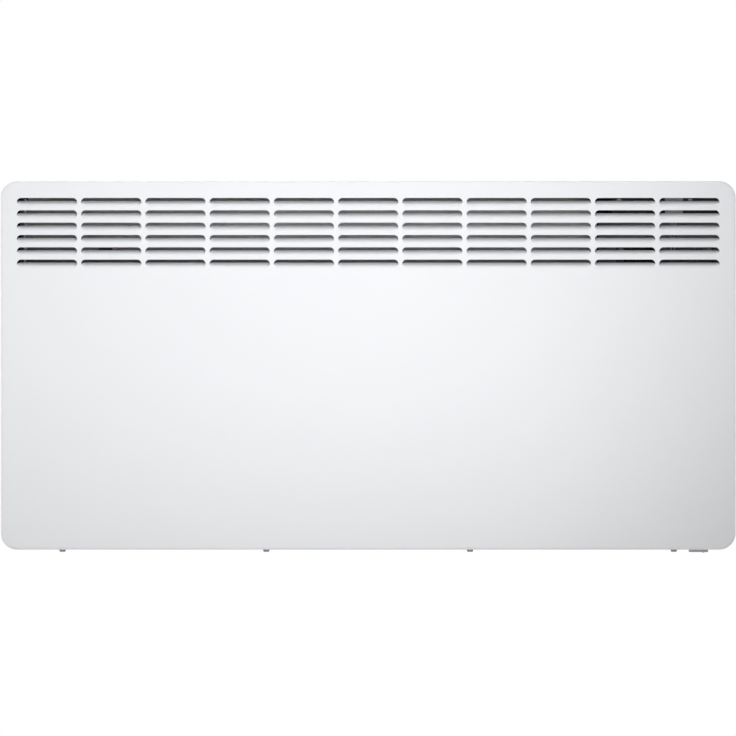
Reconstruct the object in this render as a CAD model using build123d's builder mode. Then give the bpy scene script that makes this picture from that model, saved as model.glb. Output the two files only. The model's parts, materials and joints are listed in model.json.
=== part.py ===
"""Wall panel convector heater: a white sheet steel casing with a louvred front, hung on a wall bracket.

Millimetres. X runs to the right seen from the front, Y runs towards the wall and Z is up. The origin is on
the wall, at the centre of the four wall screw slots, level with the middle of the casing.
"""

from build123d import *

import os
from math import radians, tan

# -----------------------------------------------------------------------------------------------------------
# Casing
# -----------------------------------------------------------------------------------------------------------
casing_width = 897.0
casing_height = 450.0
casing_depth = 78.0
wall_gap = 22.0
casing_sheet = 0.8
corner_radius = 20.0
edge_radius = 3.0
bottom_flange_depth = 16.0
bottom_corner_lap = 4.0

# Louvres: a stadium is punched in the front, and its lower lip leans inwards as a blade.
louvre_rows = 6
louvre_side_margin = 10.0
louvre_pitch_x = 78.4
louvre_pitch_z = 15.05
louvre_length = 73.4
louvre_height = 10.0
louvre_gap = 3.6
louvre_lean = 6.4
louvre_root = 0.6
louvre_top_margin = 20.6

# Screws under the bottom edge
casing_screw_count = 4
casing_screw_end_inset = 75.0
casing_screw_inset = 9.0
screw_diameter = 3.9
screw_head_diameter = 7.5
screw_head_height = 2.8
screw_length = 9.5
recess_length = 4.0
recess_width = 0.9
recess_depth = 1.3
pilot_clearance = 0.05
flange_hole_clearance = 0.35

# Clips that hold the top of the casing on the rear panel
top_clip_count = 4
top_clip_left_inset = 68.5
top_clip_right_gap = 55.0
top_clip_width = 20.0
top_clip_lip = 7.0
top_clip_foot = 10.5

# -----------------------------------------------------------------------------------------------------------
# Rear panel and base plate
# -----------------------------------------------------------------------------------------------------------
rear_sheet = 0.7
rear_flange = 12.0
fit_gap = 0.3
rest_gap = 0.05
cut_reach = 3.0
base_sheet = 0.8
base_flange = 12.0
inlet_slot_width = 8.0
inlet_slot_length = 46.0
inlet_slot_pitch = 12.0
inlet_end_gap = 9.0
inlet_rear_gap = 12.0
bead_length = 380.0
bead_width = 16.0
bead_height = 1.6
bead_pitch = 90.0
bead_taper = 30.0
rivet_diameter = 3.2
rivet_head_diameter = 6.0
rivet_head_height = 1.0
rivet_head_taper = 25.0
rivet_clearance = 0.1
base_rivet_count = 5
base_rivet_inset = 26.0
base_rivet_rise = 8.0
foot_rivet_count = 4
foot_rivet_inset = 29.0
foot_rivet_rise = 6.0

# -----------------------------------------------------------------------------------------------------------
# Wall bracket
# -----------------------------------------------------------------------------------------------------------
bracket_sheet = 2.0
bracket_bend = 3.0
bracket_depth = 20.0
bracket_web_x = 250.0
bracket_foot_width = 30.0
bracket_face_width = 24.0
bracket_top_drop = 75.0
bracket_bottom_rise = 25.0
wall_slot_x = 266.0
wall_slot_pitch_z = 180.0
wall_slot_width = 6.5
wall_slot_length = 14.0
hook_x = 238.0
hook_top_drop = 105.0
hook_bottom_rise = 75.0
hook_width = 12.0
hook_throat = 4.3
hook_nose_height = 10.0
hook_relief = 1.0
hook_window_height = 16.0
hook_slot_side_gap = 1.5
lift_travel = 14.0
rail_sheet = 1.5
rail_bend = 2.5
rail_height = 30.0
rail_tab = 14.5
rail_pitch = 180.0
rail_rivet_pitch = 16.0
rail_rivet_depth = 9.0
buffer_diameter = 8.0
buffer_gap = 0.1
buffer_top_drop = 6.0
buffer_hook_drop = 22.0

# Turning locks on the rear panel that reach behind the bracket
lock_pivot_x = 212.0
lock_pivot_rise = 41.0
lock_bracket_gap = 0.5
lock_thickness = 3.0
lock_nose_reach = 31.0
lock_nose_width = 10.0
lock_handle_length = 29.0
lock_handle_width = 12.0
lock_hub_diameter = 15.0
lock_tab_width = 9.0
lock_tab_thickness = 3.0
lock_tab_length = 7.0
lock_tab_inset = 4.0
lock_pivot_diameter = 6.0
lock_running_clearance = 0.08
lock_side_gap = 0.3
lock_stem_diameter = 5.0
lock_spacer_diameter = 10.0
lock_head_diameter = 11.0
lock_head_height = 2.0

# -----------------------------------------------------------------------------------------------------------
# Air duct
# -----------------------------------------------------------------------------------------------------------
duct_left_inset = 29.5
duct_right_inset = 176.5
duct_front_gap = 9.0
duct_bottom_rise = 20.0
duct_top_drop = 22.0
duct_sheet = 0.8
duct_flange = 10.0
duct_flange_top_drop = 115.0
duct_rivet_count = 4
duct_rivet_low = 35.0
duct_rivet_high = 18.0
shield_sheet = 0.5
shield_side_gap = 0.2
rear_shield_stand_off = 8.0
rear_shield_foot = 12.0
deflector_start_drop = 77.0
deflector_top_drop = 29.0
deflector_front_gap = 36.0
deflector_lip = 7.0
front_shield_top_drop = 121.0
front_shield_rise = 47.0
front_shield_lip = 5.0
front_shield_lip_height = 10.0
front_shield_rivet_count = 3
front_shield_rivet_inset = 26.0
shield_screw_left_gap = 108.0
shield_screw_right_gap = 96.0
shield_screw_left_drop = 83.0
shield_screw_right_drop = 165.0
shield_spacer_diameter = 8.0
shield_slot_length = 18.0
shield_slot_height = 6.0
shield_slot_shift = 12.5

# -----------------------------------------------------------------------------------------------------------
# Finned heating element
# -----------------------------------------------------------------------------------------------------------
element_front_gap = 39.0
element_rise = 75.0
element_left_gap = 35.0
element_tube_diameter = 8.5
element_leg_pitch = 32.0
element_reach = 12.0
fin_depth = 44.0
fin_height = 66.0
fin_corner = 3.0
fin_sheet = 0.4
fin_pitch = 7.5
fin_left_gap = 16.0
fin_right_gap = 41.0
fin_middle_gap = 27.0
support_end_gap = 8.0
support_sheet = 1.0
support_foot = 12.0
support_height = 60.0
support_depth = 50.0
bush_diameter = 13.6
bush_collar_diameter = 17.0
bush_length = 6.0
bush_collar_length = 2.5
bush_clearance = 0.15
tube_hole_clearance = 0.1
wall_hole_diameter = 10.0
element_flange_width = 26.0
element_flange_height = 60.0
element_flange_sheet = 2.0
element_flange_screw_pitch = 50.0
seal_diameter = 7.4
seal_length = 7.0
pin_diameter = 3.0
pin_length = 10.0

# Overheat cut-outs on the duct's right wall
cutout_rise = 65.0
cutout_pitch = 125.0
cutout_body_diameter = 16.0
cutout_body_length = 9.0
cutout_cap_diameter = 14.0
cutout_cap_reach = 3.0
cutout_plate_width = 18.0
cutout_plate_height = 30.0
cutout_plate_sheet = 0.8
cutout_screw_pitch = 23.0
cutout_spade_width = 6.3
cutout_spade_pitch = 8.0
spade_thickness = 0.8
spade_length = 8.0

# -----------------------------------------------------------------------------------------------------------
# Electronics behind the right end of the front
# -----------------------------------------------------------------------------------------------------------
board_inset = 83.5
board_drop = 142.0
board_width = 120.0
board_height = 130.0
board_thickness = 1.6
board_stand_off = 10.0
board_hole_inset = 6.0
stand_off_diameter = 6.0
small_screw_diameter = 3.0
small_head_diameter = 5.6
small_head_height = 2.0
small_recess_length = 3.0
screw_tip = 1.4
component_corner = 0.8
relay_shift_x = -41.2
relay_shift_z = 53.0
relay_pitch = 20.0
relay_width = 19.0
relay_height = 15.5
relay_depth = 15.0
transformer_shift_x = 27.0
transformer_shift_z = 29.0
core_width = 30.0
core_height = 22.0
core_depth = 14.0
bobbin_width = 22.0
bobbin_height = 28.0
bobbin_depth = 20.0
capacitor_shift_x = -35.0
capacitor_shift_z = 21.0
capacitor_pitch = 16.0
capacitor_diameter = 11.0
capacitor_length = 18.0
filter_shift_x = -33.0
filter_shift_z = -17.0
filter_width = 20.0
filter_height = 15.0
filter_depth = 9.0
heat_sink_shift_x = 43.0
heat_sink_shift_z = -23.0
heat_sink_height = 40.0
heat_sink_width = 20.0
heat_sink_depth = 22.0
heat_sink_base = 3.0
heat_sink_fin = 1.5
heat_sink_fins = 5
terminal_shift_x = -3.0
terminal_shift_z = -53.0
terminal_width = 42.0
terminal_height = 12.0
terminal_depth = 14.0
terminal_pitch = 6.5
terminal_ways = 6
terminal_screw_hole = 4.0
terminal_screw_depth = 3.5

# Control unit in the top wall
panel_end_gap = 1.5
panel_front_gap = 34.0
panel_length = 116.0
panel_width = 34.0
panel_corner = 4.0
panel_rim = 3.0
panel_rim_thickness = 1.4
panel_gap = 0.3
window_length = 44.0
window_width = 20.0
window_shift = -32.0
window_thickness = 1.6
window_ledge = 2.0
window_gap = 0.1
button_names = ("button_menu", "button_minus", "button_plus", "button_confirm")
button_length = 11.0
button_width = 9.0
button_corner = 1.0
button_pitch = 14.5
button_shift = 3.0
button_gap = 0.15
button_proud = 0.3
button_travel = 0.6
button_skirt = 0.7
button_skirt_thickness = 0.8
button_stem_diameter = 3.0
housing_end_gap = 0.5
housing_length = 130.0
housing_width = 32.0
housing_depth = 40.0
housing_wall = 1.5
housing_screw_inset = 9.0
housing_screw_pitch = 87.0
housing_screw_drop = 23.5
housing_boss_diameter = 7.0
housing_boss_length = 9.0
control_board_length = 108.0
control_board_width = 22.0
control_board_thickness = 1.2
control_board_drop = 9.2
control_board_post = 5.0
control_board_post_inset = 4.0
ribbon_shift_x = 9.0
ribbon_width = 22.0
ribbon_thickness = 1.0
ribbon_reach = 8.0
ribbon_gap = 0.4
ribbon_plug_gap = 0.5
ribbon_plug_width = 24.0
ribbon_plug_height = 6.0
ribbon_plug_depth = 5.0
key_switch_size = 6.0
key_switch_height = 3.5
key_plunger_diameter = 3.5
key_plunger_height = 0.85
display_length = 40.0
display_width = 18.0

# Rocker switch in the base plate
rocker_inset = 43.4
rocker_front_gap = 40.0
bezel_length = 23.4
bezel_width = 15.2
bezel_height = 4.6
bezel_corner = 1.5
switch_body_length = 20.4
switch_body_width = 12.6
switch_body_height = 15.0
switch_cut_gap = 0.2
rocker_radius = 8.6
rocker_width = 9.6
rocker_tilt = 9.0
rocker_gap = 0.25
rocker_pivot_drop = 0.1
rocker_centre_depth = 3.3
rocker_end_depth = 4.64
rocker_top = 1.5
rocker_pin_diameter = 2.0
rocker_pin_length = 1.0
rocker_pin_clearance = 0.05
rocker_cavity_top = 3.4
switch_spade_width = 4.8
switch_spade_pitch = 7.0

# Room sensor beside the switch
sensor_inset = 24.0
sensor_front_gap = 56.0
sensor_diameter = 6.0
sensor_height = 14.0
sensor_foot_length = 14.0
sensor_foot_width = 10.0
sensor_foot_thickness = 2.0

# Mains connection at the back
box_inset = 56.5
box_rise = 80.0
box_width = 78.0
box_height = 66.0
box_depth = 19.5
box_wall = 1.8
box_corner = 5.0
box_ear_width = 9.0
box_ear_height = 16.0
box_ear_thickness = 2.0
grommet_rise = 5.0
grommet_diameter = 13.0
grommet_bore = 9.4
grommet_lip_diameter = 17.0
grommet_lip = 1.5
gland_shift = -20.0
gland_stand_off = 9.8
gland_bore_diameter = 7.6
gland_thread_diameter = 12.4
gland_flange_diameter = 17.0
gland_flange_thickness = 2.5
gland_thread_up = 7.0
gland_thread_down = 7.5
gland_wall_gap = 0.2
gland_nut_thickness = 3.5
gland_cap_diameter = 16.4
gland_cap_length = 9.5
gland_cap_bore_diameter = 8.6
strip_shift = -14.0
strip_drop = 15.0
strip_width = 28.0
strip_height = 12.0
strip_depth = 14.0
strip_pitch = 8.0
strip_screw_hole = 5.0
strip_screw_depth = 3.5
earth_screw_shift_x = 32.0
earth_screw_shift_z = 45.0
lead_diameter = 2.4
lead_bend = 10.0
lead_step = 16.0
lead_pitch = 3.0
signal_lead_pitch = 4.0
signal_lead_drop = 10.0
signal_lead_fall = 13.0
live_lead_fall = 24.0
lead_bend_share = 0.45

# -----------------------------------------------------------------------------------------------------------
# Places worked out from the sizes above
# -----------------------------------------------------------------------------------------------------------
half_width = casing_width / 2
rear_y = -wall_gap
front_y = rear_y - casing_depth
inner_front_y = front_y + casing_sheet
top_z = casing_height / 2
bottom_z = -top_z
inner_top_z = top_z - casing_sheet
inner_bottom_z = bottom_z + casing_sheet
panel_face_y = rear_y - rear_sheet
straight_half_width = half_width - corner_radius
base_half_width = straight_half_width - 2 * fit_gap
base_top_z = inner_bottom_z + base_sheet
rear_outline_width = casing_width - 2 * (casing_sheet + fit_gap)
rear_outline_height = casing_height - 2 * (casing_sheet + fit_gap)


def spread(first, last, count):
    """Evenly spaced places from first to last."""
    return [first + (last - first) * i / (count - 1) for i in range(count)]


louvre_columns = int((casing_width - 2 * louvre_side_margin) // louvre_pitch_x)
louvre_centre_z = top_z - louvre_top_margin - louvre_height / 2 - (louvre_rows - 1) / 2 * louvre_pitch_z
casing_screw_end_x = half_width - casing_screw_end_inset
casing_screw_x = spread(-casing_screw_end_x, casing_screw_end_x, casing_screw_count)
casing_screw_places = [(x, front_y + casing_screw_inset) for x in casing_screw_x]

panel_x = straight_half_width - panel_end_gap - panel_rim - panel_length / 2
panel_y = front_y + panel_front_gap
panel_under_z = inner_top_z - panel_rim_thickness
panel_thickness = top_z - panel_under_z
window_centre_x = panel_x + window_shift
window_under_z = top_z - window_thickness
button_x_places = [panel_x + button_shift + i * button_pitch for i in range(len(button_names))]
control_board_z = panel_under_z - control_board_drop
housing_right_x = straight_half_width - housing_end_gap
housing_left_x = housing_right_x - housing_length
housing_x = housing_right_x - housing_length / 2
housing_front_y = panel_y - housing_width / 2
housing_floor_z = panel_under_z - housing_depth
housing_screw_x = housing_left_x + housing_screw_inset
housing_bosses = [(housing_screw_x + i * housing_screw_pitch, top_z - housing_screw_drop) for i in range(2)]
ribbon_top_z = control_board_z - control_board_thickness
ribbon_plug_top_z = housing_floor_z - ribbon_plug_gap

clip_fold_y = rear_y - rear_flange - fit_gap
clip_lip_z = inner_top_z - rear_sheet - 2 * fit_gap
top_clip_last_x = panel_x - panel_length / 2 - panel_rim - top_clip_right_gap
top_clip_places = spread(top_clip_left_inset - straight_half_width, top_clip_last_x, top_clip_count)

bracket_top_z = top_z - bracket_top_drop
bracket_bottom_z = bottom_z + bracket_bottom_rise
bracket_face_y = -bracket_depth
bracket_face_back_y = bracket_face_y + bracket_sheet
hook_levels = (top_z - hook_top_drop, bottom_z + hook_bottom_rise)
hook_nose_y = bracket_face_y - hook_throat - bracket_sheet
hook_slot_height = lift_travel + bracket_sheet + hook_relief + rest_gap
hook_places = [(side * hook_x, height) for side in (-1, 1) for height in hook_levels]
buffer_levels = (bracket_top_z - buffer_top_drop, hook_levels[1] - buffer_hook_drop)
buffer_places = [(side * hook_x, height) for side in (-1, 1) for height in buffer_levels]
lock_face_y = bracket_face_back_y + lock_bracket_gap + lock_thickness
lock_pivot_z = bottom_z + lock_pivot_rise
lock_places = [(side * lock_pivot_x, lock_pivot_z) for side in (-1, 1)]

duct_left_x = duct_left_inset - half_width
duct_right_x = half_width - duct_right_inset
duct_wall_face_x = duct_right_x + duct_sheet
duct_front_y = front_y + duct_front_gap
duct_bottom_z = bottom_z + duct_bottom_rise
duct_top_z = top_z - duct_top_drop
duct_flange_top_z = top_z - duct_flange_top_drop
front_shield_top_z = top_z - front_shield_top_drop
front_shield_bottom_z = bottom_z + front_shield_rise
rear_shield_y = panel_face_y - rear_shield_stand_off
shield_front_y = rear_shield_y - shield_sheet
deflector_top_y = front_y + deflector_front_gap
shield_screw_places = [
    (duct_left_x + shield_screw_left_gap, top_z - shield_screw_left_drop),
    (duct_right_x - shield_screw_right_gap, top_z - shield_screw_right_drop),
]
duct_rivet_x = (duct_left_x - duct_flange / 2, duct_right_x + (duct_flange + duct_sheet) / 2)
duct_rivet_levels = spread(duct_bottom_z + duct_rivet_low, duct_top_z - duct_rivet_high, duct_rivet_count)
front_shield_rivet_levels = spread(
    front_shield_bottom_z + front_shield_rivet_inset,
    front_shield_top_z - front_shield_rivet_inset,
    front_shield_rivet_count,
)
duct_rivets_rear = [(x, z) for x in duct_rivet_x for z in duct_rivet_levels]
duct_rivets_front = [(x, z) for x in duct_rivet_x for z in front_shield_rivet_levels]
foot_rivet_x = spread(duct_left_x + foot_rivet_inset, duct_right_x - foot_rivet_inset, foot_rivet_count)
foot_rivets = [(x, duct_bottom_z + foot_rivet_rise) for x in foot_rivet_x]
base_rivet_end_x = base_half_width - base_rivet_inset
base_rivet_x = spread(-base_rivet_end_x, base_rivet_end_x, base_rivet_count)
base_rivets = [(x, bottom_z + base_rivet_rise) for x in base_rivet_x]
inlet_first_x = duct_left_x + inlet_end_gap
inlet_slot_count = int((duct_right_x - inlet_end_gap - inlet_first_x) // inlet_slot_pitch) + 1
inlet_y = rear_y - inlet_rear_gap - inlet_slot_length / 2
inlet_places = [(inlet_first_x + i * inlet_slot_pitch, inlet_y) for i in range(inlet_slot_count)]

element_y = front_y + element_front_gap
element_z = bottom_z + element_rise
element_left_x = duct_left_x + element_left_gap
lower_leg_z = element_z - element_leg_pitch / 2
upper_leg_z = element_z + element_leg_pitch / 2
element_legs = [(element_y, lower_leg_z), (element_y, upper_leg_z)]
tube_end_x = duct_wall_face_x + element_reach
seal_end_x = tube_end_x + seal_length
pin_end_x = seal_end_x + pin_length
tube_hole = element_tube_diameter + 2 * tube_hole_clearance
fin_left_x = element_left_x + fin_left_gap
fin_right_x = duct_right_x - fin_right_gap
fin_bank_length = (fin_right_x - fin_left_x - fin_middle_gap) / 2
fins_per_bank = int(fin_bank_length // fin_pitch) + 1
fin_bank_centres = (fin_left_x + fin_bank_length / 2, fin_right_x - fin_bank_length / 2)
support_places = (element_left_x + support_end_gap, (fin_left_x + fin_right_x) / 2)
element_flange_screws = [(element_y, element_z + side * element_flange_screw_pitch / 2) for side in (-1, 1)]
cutout_levels = (element_z + cutout_rise + cutout_pitch, element_z + cutout_rise)
cutout_places = [(element_y, height) for height in cutout_levels]
cutout_screws = [
    (element_y, height + side * cutout_screw_pitch / 2) for height in cutout_levels for side in (-1, 1)
]
cutout_spades_at = [
    (element_y, height + side * cutout_spade_pitch / 2) for height in cutout_levels for side in (-1, 1)
]
cutout_body_x = duct_wall_face_x + cutout_plate_sheet
cutout_spade_x = cutout_body_x + cutout_body_length
cutout_spade_end_x = cutout_spade_x + spade_length

board_x = half_width - board_inset
board_z = top_z - board_drop
board_back_y = panel_face_y - board_stand_off
board_face_y = board_back_y - board_thickness
board_screw_x = board_width / 2 - board_hole_inset
board_screw_z = board_height / 2 - board_hole_inset
board_screws = [
    (board_x + side * board_screw_x, board_z + end * board_screw_z) for side in (-1, 1) for end in (-1, 1)
]
relay_places = [(board_x + relay_shift_x + i * relay_pitch, board_z + relay_shift_z) for i in range(2)]
transformer_place = [(board_x + transformer_shift_x, board_z + transformer_shift_z)]
capacitor_places = [
    (board_x + capacitor_shift_x + i * capacitor_pitch, board_z + capacitor_shift_z) for i in range(2)
]
filter_place = [(board_x + filter_shift_x, board_z + filter_shift_z)]
ribbon_x = board_x + ribbon_shift_x
heat_sink_x = board_x + heat_sink_shift_x
heat_sink_z = board_z + heat_sink_shift_z
terminal_x = board_x + terminal_shift_x
terminal_z = board_z + terminal_shift_z
terminal_under_z = terminal_z - terminal_height / 2
terminal_lead_y = board_face_y - terminal_depth / 2
terminal_first_x = terminal_x - (terminal_ways - 1) / 2 * terminal_pitch
terminal_x_places = [terminal_first_x + i * terminal_pitch for i in range(terminal_ways)]

rocker_x = half_width - rocker_inset
rocker_y = front_y + rocker_front_gap
rocker_pivot_z = inner_bottom_z - rocker_pivot_drop
switch_top_z = inner_bottom_z + switch_body_height
switch_spade_end_z = switch_top_z + spade_length
sensor_x = half_width - sensor_inset
sensor_y = front_y + sensor_front_gap

box_x = half_width - box_inset
box_z = bottom_z + box_rise
box_rear_y = rear_y + box_depth
box_bottom_z = box_z - box_height / 2
box_ear_shift = (box_width + box_ear_width) / 2
box_ears_left = [(box_x - box_ear_shift, box_z + side * box_height / 4) for side in (-1, 1)]
box_ears_right = [(box_x + box_ear_shift, box_z)]
box_ear_places = box_ears_left + box_ears_right
grommet_x = rocker_x + switch_spade_pitch / 2
grommet_z = box_z + grommet_rise
gland_x = box_x + gland_shift
gland_y = rear_y + gland_stand_off
gland_top_z = box_bottom_z + gland_thread_up
gland_flange_z = box_bottom_z - gland_flange_thickness
gland_thread_end_z = gland_flange_z - gland_thread_down
gland_cap_z = gland_flange_z - gland_cap_length
strip_x = box_x + strip_shift
strip_z = box_z - strip_drop
strip_top_z = strip_z + strip_height / 2
strip_lead_y = rear_y + strip_depth / 2
earth_screw_place = (box_x + earth_screw_shift_x, box_z + earth_screw_shift_z)
rivet_hole = rivet_diameter + 2 * rivet_clearance
screw_hole = small_screw_diameter + 2 * pilot_clearance

os.makedirs("parts", exist_ok=True)


# -----------------------------------------------------------------------------------------------------------
# Helpers
# -----------------------------------------------------------------------------------------------------------
def upright_plane(y):
    """A plane parallel to the wall at depth y. Its own axes are X and Z, and it faces the room."""
    return Plane.XZ.offset(-y)


def level(z):
    """A horizontal plane at height z, facing up."""
    return Plane.XY.offset(z)


def cross_plane(x):
    """A plane across the heater at x. Its own axes are Y and Z, and it faces +X."""
    return Plane.YZ.offset(x)


def save(builder, name):
    """Labels a finished piece and writes it."""
    builder.part.label = name
    export_step(builder.part, f"parts/{name}.step")


def folded_sheet(plane, points, thickness, width, side=Side.LEFT, bend=0.0):
    """A folded sheet: the line through points, thickened to one side and run for width along the normal."""
    with BuildPart() as piece:
        with BuildSketch(plane):
            with BuildLine():
                if bend > 0:
                    FilletPolyline(*points, radius=bend)
                else:
                    Polyline(*points)
                offset(amount=thickness, side=side, kind=Kind.INTERSECTION)
            make_face()
        extrude(amount=width)
    return piece.part


def drill(plane, places, diameter, depth):
    """Straight round holes into the piece being built, depth deep against the plane's normal."""
    with BuildSketch(plane) as holes:
        with Locations(*places):
            Circle(diameter / 2)
    extrude(holes.sketch, amount=-depth, mode=Mode.SUBTRACT)


def discs(plane, places, diameter, height):
    """Round bosses, shanks or collars on the piece being built, height tall along the plane's normal."""
    with BuildSketch(plane) as rounds:
        with Locations(*places):
            Circle(diameter / 2)
    extrude(rounds.sketch, amount=height)


def blocks(plane, places, length, width, height, corner=0.0, mode=Mode.ADD):
    """Rectangular blocks on the piece being built, height tall along the plane's normal."""
    with BuildSketch(plane) as shapes:
        with Locations(*places):
            if corner > 0:
                RectangleRounded(length, width, corner)
            else:
                Rectangle(length, width)
    extrude(shapes.sketch, amount=height, mode=mode)


def rivets(plane, places, grip):
    """Rivets with one row of heads on the plane's front, and the other heads grip behind it."""
    with BuildPart() as piece:
        with BuildSketch(plane) as heads:
            with Locations(*places):
                Circle(rivet_head_diameter / 2)
        extrude(heads.sketch, amount=rivet_head_height, taper=rivet_head_taper)
        discs(plane, places, rivet_diameter, -grip)
        with BuildSketch(plane.offset(-grip)) as far_heads:
            with Locations(*places):
                Circle(rivet_head_diameter / 2)
        extrude(far_heads.sketch, amount=-rivet_head_height, taper=rivet_head_taper)
    return piece.part


def screws(plane, places, length, up=1):
    """Small pan head screws with a crossed recess. Their heads stand on the plane's front when up is 1."""
    with BuildPart() as piece:
        discs(plane, places, small_head_diameter, up * small_head_height)
        discs(plane, places, small_screw_diameter, -up * length)
        top = plane.offset(up * small_head_height)
        blocks(top, places, small_recess_length, recess_width, -up * recess_width, mode=Mode.SUBTRACT)
        blocks(top, places, recess_width, small_recess_length, -up * recess_width, mode=Mode.SUBTRACT)
    return piece.part


def lead(*points):
    """An insulated lead: straight runs joined by arcs as large as the shorter run leaves room for."""
    runs = [Vector(*end) - Vector(*start) for start, end in zip(points, points[1:])]
    radii = []
    for one, two in zip(runs, runs[1:]):
        half_turn = radians(one.get_angle(two) / 2)
        radii.append(min(lead_bend, lead_bend_share * min(one.length, two.length) / tan(half_turn)))
    with BuildPart() as piece:
        with BuildLine() as route:
            FilletPolyline(*points, radius=radii)
        with BuildSketch(Plane(route.line @ 0, z_dir=route.line % 0)):
            Circle(lead_diameter / 2)
        sweep(path=route.line)
    return piece.part


# -----------------------------------------------------------------------------------------------------------
# Front casing: one folded and punched sheet, open at the back, with an air opening underneath
# -----------------------------------------------------------------------------------------------------------
blade_slope = louvre_lean / (louvre_height - louvre_gap)
blade_cosine = 1 / (1 + blade_slope**2) ** 0.5
blade_sine = blade_slope * blade_cosine
lip_z = -louvre_height / 2
root_z = lip_z - louvre_root
inner_lip_z = lip_z - casing_sheet * blade_sine + casing_sheet * (1 - blade_cosine) / blade_slope


def blade_profile(rise):
    """Section of a blade in Y and Z: from the lower lip it leans inwards, up to rise above the lip."""
    outer_y = rise * blade_slope
    inner_y = casing_sheet * blade_cosine + (rise + casing_sheet * blade_sine) * blade_slope
    return [
        (0, root_z),
        (0, lip_z),
        (outer_y, lip_z + rise),
        (inner_y, lip_z + rise),
        (casing_sheet, inner_lip_z),
        (casing_sheet, root_z),
    ]


with BuildPart() as blade:
    blade_end_x = (louvre_length - louvre_height) / 2
    with BuildSketch(cross_plane(-blade_end_x)):
        with BuildLine():
            Polyline(*blade_profile(louvre_height - louvre_gap), close=True)
        make_face()
    extrude(amount=2 * blade_end_x)
    for end_x, turn in ((-blade_end_x, -90), (blade_end_x, 90)):
        with BuildSketch(cross_plane(end_x)):
            with BuildLine():
                Polyline(*blade_profile(louvre_height / 2), close=True)
            make_face()
        revolve(axis=Axis((end_x, 0, 0), (0, -1, 0)), revolution_arc=turn)

blade_places = [
    (
        (column - (louvre_columns - 1) / 2) * louvre_pitch_x,
        front_y,
        louvre_centre_z + (row - (louvre_rows - 1) / 2) * louvre_pitch_z,
    )
    for column in range(louvre_columns)
    for row in range(louvre_rows)
]

with BuildPart() as front_casing:
    with BuildSketch(upright_plane(rear_y)):
        RectangleRounded(casing_width, casing_height, corner_radius)
    extrude(amount=casing_depth)
    fillet(front_casing.faces().sort_by(Axis.Y)[0].edges(), edge_radius)
    offset(amount=-casing_sheet, openings=front_casing.faces().sort_by(Axis.Y)[-1])
    blocks(
        level(bottom_z),
        [(0, rear_y - (casing_depth - bottom_flange_depth) / 2)],
        2 * (straight_half_width - bottom_corner_lap),
        casing_depth - bottom_flange_depth,
        casing_sheet,
        mode=Mode.SUBTRACT,
    )
    flange_hole = screw_diameter + 2 * flange_hole_clearance
    drill(level(inner_bottom_z), casing_screw_places, flange_hole, casing_sheet)
    blocks(
        level(inner_top_z),
        [(panel_x, panel_y)],
        panel_length + 2 * panel_gap,
        panel_width + 2 * panel_gap,
        casing_sheet,
        corner=panel_corner + panel_gap,
        mode=Mode.SUBTRACT,
    )
    with BuildSketch(upright_plane(inner_front_y)):
        with Locations((0, louvre_centre_z)):
            with GridLocations(louvre_pitch_x, louvre_pitch_z, louvre_columns, louvre_rows):
                SlotOverall(louvre_length, louvre_height)
    extrude(amount=casing_sheet, mode=Mode.SUBTRACT)
    with Locations(*blade_places):
        add(blade.part)
save(front_casing, "front_casing")

with BuildPart() as casing_screws:
    discs(level(bottom_z), casing_screw_places, screw_head_diameter, -screw_head_height)
    fillet(casing_screws.faces().sort_by(Axis.Z)[:casing_screw_count].edges(), screw_head_height / 2)
    discs(level(bottom_z), casing_screw_places, screw_diameter, screw_length)
    head_plane = level(bottom_z - screw_head_height)
    blocks(head_plane, casing_screw_places, recess_length, recess_width, recess_depth, mode=Mode.SUBTRACT)
    blocks(head_plane, casing_screw_places, recess_width, recess_length, recess_depth, mode=Mode.SUBTRACT)
save(casing_screws, "casing_screws")

with BuildPart() as top_clips:
    for clip_x in top_clip_places:
        clip_points = [
            (clip_fold_y - top_clip_foot, inner_top_z),
            (clip_fold_y, inner_top_z),
            (clip_fold_y, clip_lip_z),
            (clip_fold_y + top_clip_lip, clip_lip_z),
        ]
        clip_plane = cross_plane(clip_x - top_clip_width / 2)
        add(folded_sheet(clip_plane, clip_points, casing_sheet, top_clip_width, Side.RIGHT))
save(top_clips, "top_clips")

# -----------------------------------------------------------------------------------------------------------
# Rear panel: a shallow tray inside the casing, with slots for the bracket's hooks
# -----------------------------------------------------------------------------------------------------------
with BuildPart() as rear_panel:
    with BuildSketch(upright_plane(rear_y)):
        RectangleRounded(rear_outline_width, rear_outline_height, corner_radius - casing_sheet - fit_gap)
    extrude(amount=rear_flange)
    offset(amount=-rear_sheet, openings=rear_panel.faces().sort_by(Axis.Y)[0])
    blocks(
        upright_plane(panel_face_y),
        [(0, -rear_outline_height / 2)],
        2 * straight_half_width,
        cut_reach,
        rear_flange,
        mode=Mode.SUBTRACT,
    )
    for bead_z in (-bead_pitch / 2, bead_pitch / 2):
        with BuildSketch(upright_plane(rear_y)):
            with Locations((0, bead_z)):
                SlotOverall(bead_length, bead_width)
        extrude(amount=-bead_height, taper=bead_taper)
        with BuildSketch(upright_plane(panel_face_y)):
            with Locations((0, bead_z)):
                SlotOverall(bead_length - rear_sheet, bead_width - rear_sheet)
        extrude(amount=-bead_height, taper=bead_taper, mode=Mode.SUBTRACT)
    blocks(
        upright_plane(rear_y),
        [(x, z + rest_gap - hook_slot_height / 2) for x, z in hook_places],
        hook_width + 2 * hook_slot_side_gap,
        hook_slot_height,
        rear_sheet,
        mode=Mode.SUBTRACT,
    )
    face = upright_plane(panel_face_y)
    drill(face, lock_places, lock_stem_diameter, rear_sheet)
    drill(face, [(grommet_x, grommet_z)], grommet_diameter, rear_sheet)
    drill(face, duct_rivets_rear + foot_rivets + base_rivets, rivet_hole, rear_sheet)
    drill(face, board_screws + box_ear_places + [earth_screw_place], screw_hole, rear_sheet)
    drill(face, shield_screw_places, screw_hole, rear_sheet)
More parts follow.
